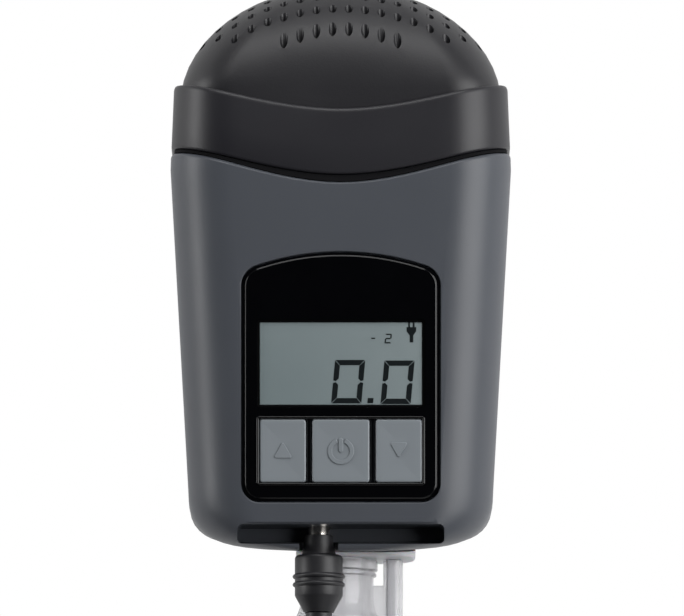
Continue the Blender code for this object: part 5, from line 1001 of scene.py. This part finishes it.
# Feet and case screws. Four discs of black rubber are pressed into recesses in the back, and four zinc-plated
# socket screws, sunk deep in their holes, hold the two halves together.
upright = Matrix.Identity(4)
foot_rubber = moulded("foot_rubber", (0.017, 0.017, 0.018), 0.7, grain=1500, depth=0.00004)
for i, (x, y) in enumerate(foot_places):
    foot = turned(f"rubber_foot_{i + 1}", in_mm(
        (0, 1.9), (4.5, 1.9), (4.5, 0.6), (4.4, 0.2), (4.1, 0), (3, 0),
        (2.9, 0.12), (1.4, 0.12), (1.3, 0), (0, 0),
    ), (x, y, 0), foot_rubber, 48, direction=upright)
    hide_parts(f"foot_{i + 1}")
    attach(foot, "housing")

zinc, where, lay = start_finish("zinc_plate", {"Metallic": 1})
lay(
    Base_Color=where.noise(900, 3).between((0.42, 0.43, 0.44), (0.6, 0.6, 0.6)),
    Roughness=where.noise(1500, 3) * 0.15 + 0.24,
)
for i, (x, y) in enumerate(screw_places):
    screw = turned(f"socket_screw_{i + 1}", in_mm(
        (0, 24.7), (1.2, 24.7), (1.2, 4.7), (2.4, 4.7), (2.4, 3.3), (2.25, 3),
        (1.9, 2.9), (0, 2.9),
    ), (x, y, 0), None, 32, direction=upright)
    carve(screw, drills([(x, y)], 0.0013, 0.0027, 0.004, steps=6))
    edges_kept(screw, zinc)
    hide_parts(f"case_screw_{i + 1}")
    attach(screw, "housing")


# Works inside the housing. The board, the blower and its motor, the ducts and the sensor are the packed
# parts themselves; each gets the finish of what it is made of.
black_nylon = moulded("black_nylon", (0.026, 0.026, 0.028), 0.48, grain=1900, depth=0.00003)
white_nylon = moulded("white_nylon", (0.62, 0.62, 0.6), 0.42, grain=1900, depth=0.00002)
milky_silicone = moulded("milky_silicone", (0.42, 0.42, 0.44), 0.4, grain=700, depth=0.00002)
drawn_steel, where, lay = start_finish("drawn_steel", {"Metallic": 1})
lines = where.stretched((1, 1, 12)).noise(700, 4)
patterned(lay, lines, (0.5, 0.5, 0.5), (0.68, 0.68, 0.67), 0.2, 0.18, 0.00001, 0.4)
winding, where, lay = start_finish("copper_winding", {"Metallic": 0.85})
strands = where.node(
    "ShaderNodeTexWave", {"wave_type": "BANDS", "bands_direction": "Z"},
    {"Vector": where, "Scale": 900, "Distortion": 1.5}, out=1)
patterned(lay, strands, (0.2, 0.06, 0.02), (0.62, 0.27, 0.12), 0.2, 0.3, 0.0001)
solder_mask, where, lay = start_finish("solder_mask", {"Coat Weight": 0.3, "Coat Roughness": 0.2})
tracks = where.node(
    "ShaderNodeTexBrick", {"offset": 0.35},
    {"Vector": where, "Scale": 380, "Mortar Size": 0.03, "Mortar Smooth": 0.2}, out=1)
lay(
    Base_Color=(tracks * 0.7 + where.noise(500, 3) * 0.3).between((0.008, 0.1, 0.035), (0.03, 0.24, 0.1)),
    Roughness=tracks * 0.1 + 0.32,
    Normal=tracks.relief(0.00004, 0.5),
)
made_of = {
    black_nylon: (
        "blower_base", "blower_cover", "port_block", "power_jack", "pressure_sensor",
        *(f"key_switch_{word}" for word in key_row)),
    white_nylon: ("impeller", "lcd_holder"),
    milky_silicone: ("outlet_duct", "port_seal", "blower_mount"),
    drawn_steel: (
        "motor_can", "motor_cap", "rotor_shaft", "bearing_lower", "bearing_upper",
        *(f"board_screw_{i}" for i in range(1, 5))),
    winding: ("motor_stator",),
    solder_mask: ("main_board",),
}
for material, names in made_of.items():
    for name in names:
        parts[name].material_slots[0].material = material

sense_low, sense_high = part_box("sensor_hose")
hose_radius = 0.0016
hose_curve, sensing_hose = round_curve("sensing_hose", hose_radius, 4, milky_silicone)
hose_curve.resolution_u = 16
bend = hose_curve.splines.new("BEZIER")
bend.bezier_points.add(1)
hose_start = Vector((sense_x, sense_low.y, port_z))
slope = Vector((0, math.sin(front_slope), -math.cos(front_slope)))
hose_stop = Vector((sense_x, sense_high.y - hose_radius, sense_high.z))
handles = Vector((0, 0.007, 0)), slope * 0.005
for point, place, handle in zip(bend.bezier_points, (hose_start, hose_stop), handles):
    point.co = place
    point.handle_right_type = point.handle_left_type = "FREE"
    point.handle_right = point.handle_left = place + handle
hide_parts("sensor_hose")
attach(sensing_hose, "housing")


# Table and light. The machine lies on a plain white table. Large soft lights stand on its left and right and
# beyond its cap, and a faint one at its hose end; the pale room is dark only where the camera stands.
floor_bm = bmesh.new()
bmesh.ops.create_grid(floor_bm, x_segments=1, y_segments=1, size=4)
bmesh.ops.translate(floor_bm, vec=(0, 0, -0.0001), verts=floor_bm.verts)
table_white = bpy.data.materials.new("table_white")
table_white.use_nodes = True
tree = table_white.node_tree
paint = tree.nodes["Principled BSDF"]
paint.inputs["Base Color"].default_value = (0.8, 0.8, 0.8, 1)
paint.inputs["Roughness"].default_value = 0.6
glow = tree.nodes.new("ShaderNodeEmission")
rays = tree.nodes.new("ShaderNodeLightPath")
mirrored = Tone(rays.outputs["Is Glossy Ray"]) + Tone(rays.outputs["Is Transmission Ray"])
seen = Tone(rays.outputs["Is Camera Ray"]) + mirrored * 0.6
mixed = tree.nodes.new("ShaderNodeMixShader")
tree.links.new(seen.socket, mixed.inputs[0])
tree.links.new(paint.outputs[0], mixed.inputs[1])
tree.links.new(glow.outputs[0], mixed.inputs[2])
tree.links.new(mixed.outputs[0], tree.nodes["Material Output"].inputs[0])
floor = settled("table", floor_bm, table_white)

room = bpy.data.worlds.new("room")
bpy.context.scene.world = room
room.use_nodes = True
tree = room.node_tree
lit = tree.nodes["Background"]
white = tree.nodes.new("ShaderNodeBackground")
rays = tree.nodes.new("ShaderNodeLightPath")
direction = Tone(tree.nodes.new("ShaderNodeTexCoord").outputs["Generated"])
round_about = direction.axis(2).over(0.985, 0.8)
far = direction.axis(1).over(-0.95, 0.5) * 0.95 + 0.33
right = direction.axis(0).over(-0.2, 0.7) * 0.9 + 1
mirrored = Tone(rays.outputs["Is Glossy Ray"]) + Tone(rays.outputs["Is Transmission Ray"])
strength = round_about * far * right * (mirrored * 0.45 + 0.45) + 0.02
tree.links.new(strength.socket, lit.inputs["Strength"])
mixed = tree.nodes.new("ShaderNodeMixShader")
tree.links.new(rays.outputs["Is Camera Ray"], mixed.inputs[0])
tree.links.new(lit.outputs[0], mixed.inputs[1])
tree.links.new(white.outputs[0], mixed.inputs[2])
tree.links.new(mixed.outputs[0], tree.nodes["World Output"].inputs[0])

for name, place, width, height, power in (
    ("light_left", (-0.95, 0.2, 0.26), 0.8, 0.3, 5),
    ("light_right", (0.72, 0.12, 0.62), 0.9, 0.75, 10),
    ("light_far", (0.0, 1.0, 0.6), 0.8, 0.4, 5),
    ("light_near", (0.3, -0.95, 0.5), 0.7, 0.4, 0.8),
):
    lamp = bpy.data.lights.new(name, "AREA")
    lamp.shape = "RECTANGLE"
    lamp.size, lamp.size_y = width, height
    lamp.energy = power
    stand = placed(name, lamp)
    stand.location = place
    stand.rotation_euler = (Vector((0, 0, 0.025)) - Vector(place)).to_track_quat("-Z", "Y").to_euler()
bpy.context.scene.view_settings.view_transform = "Standard"
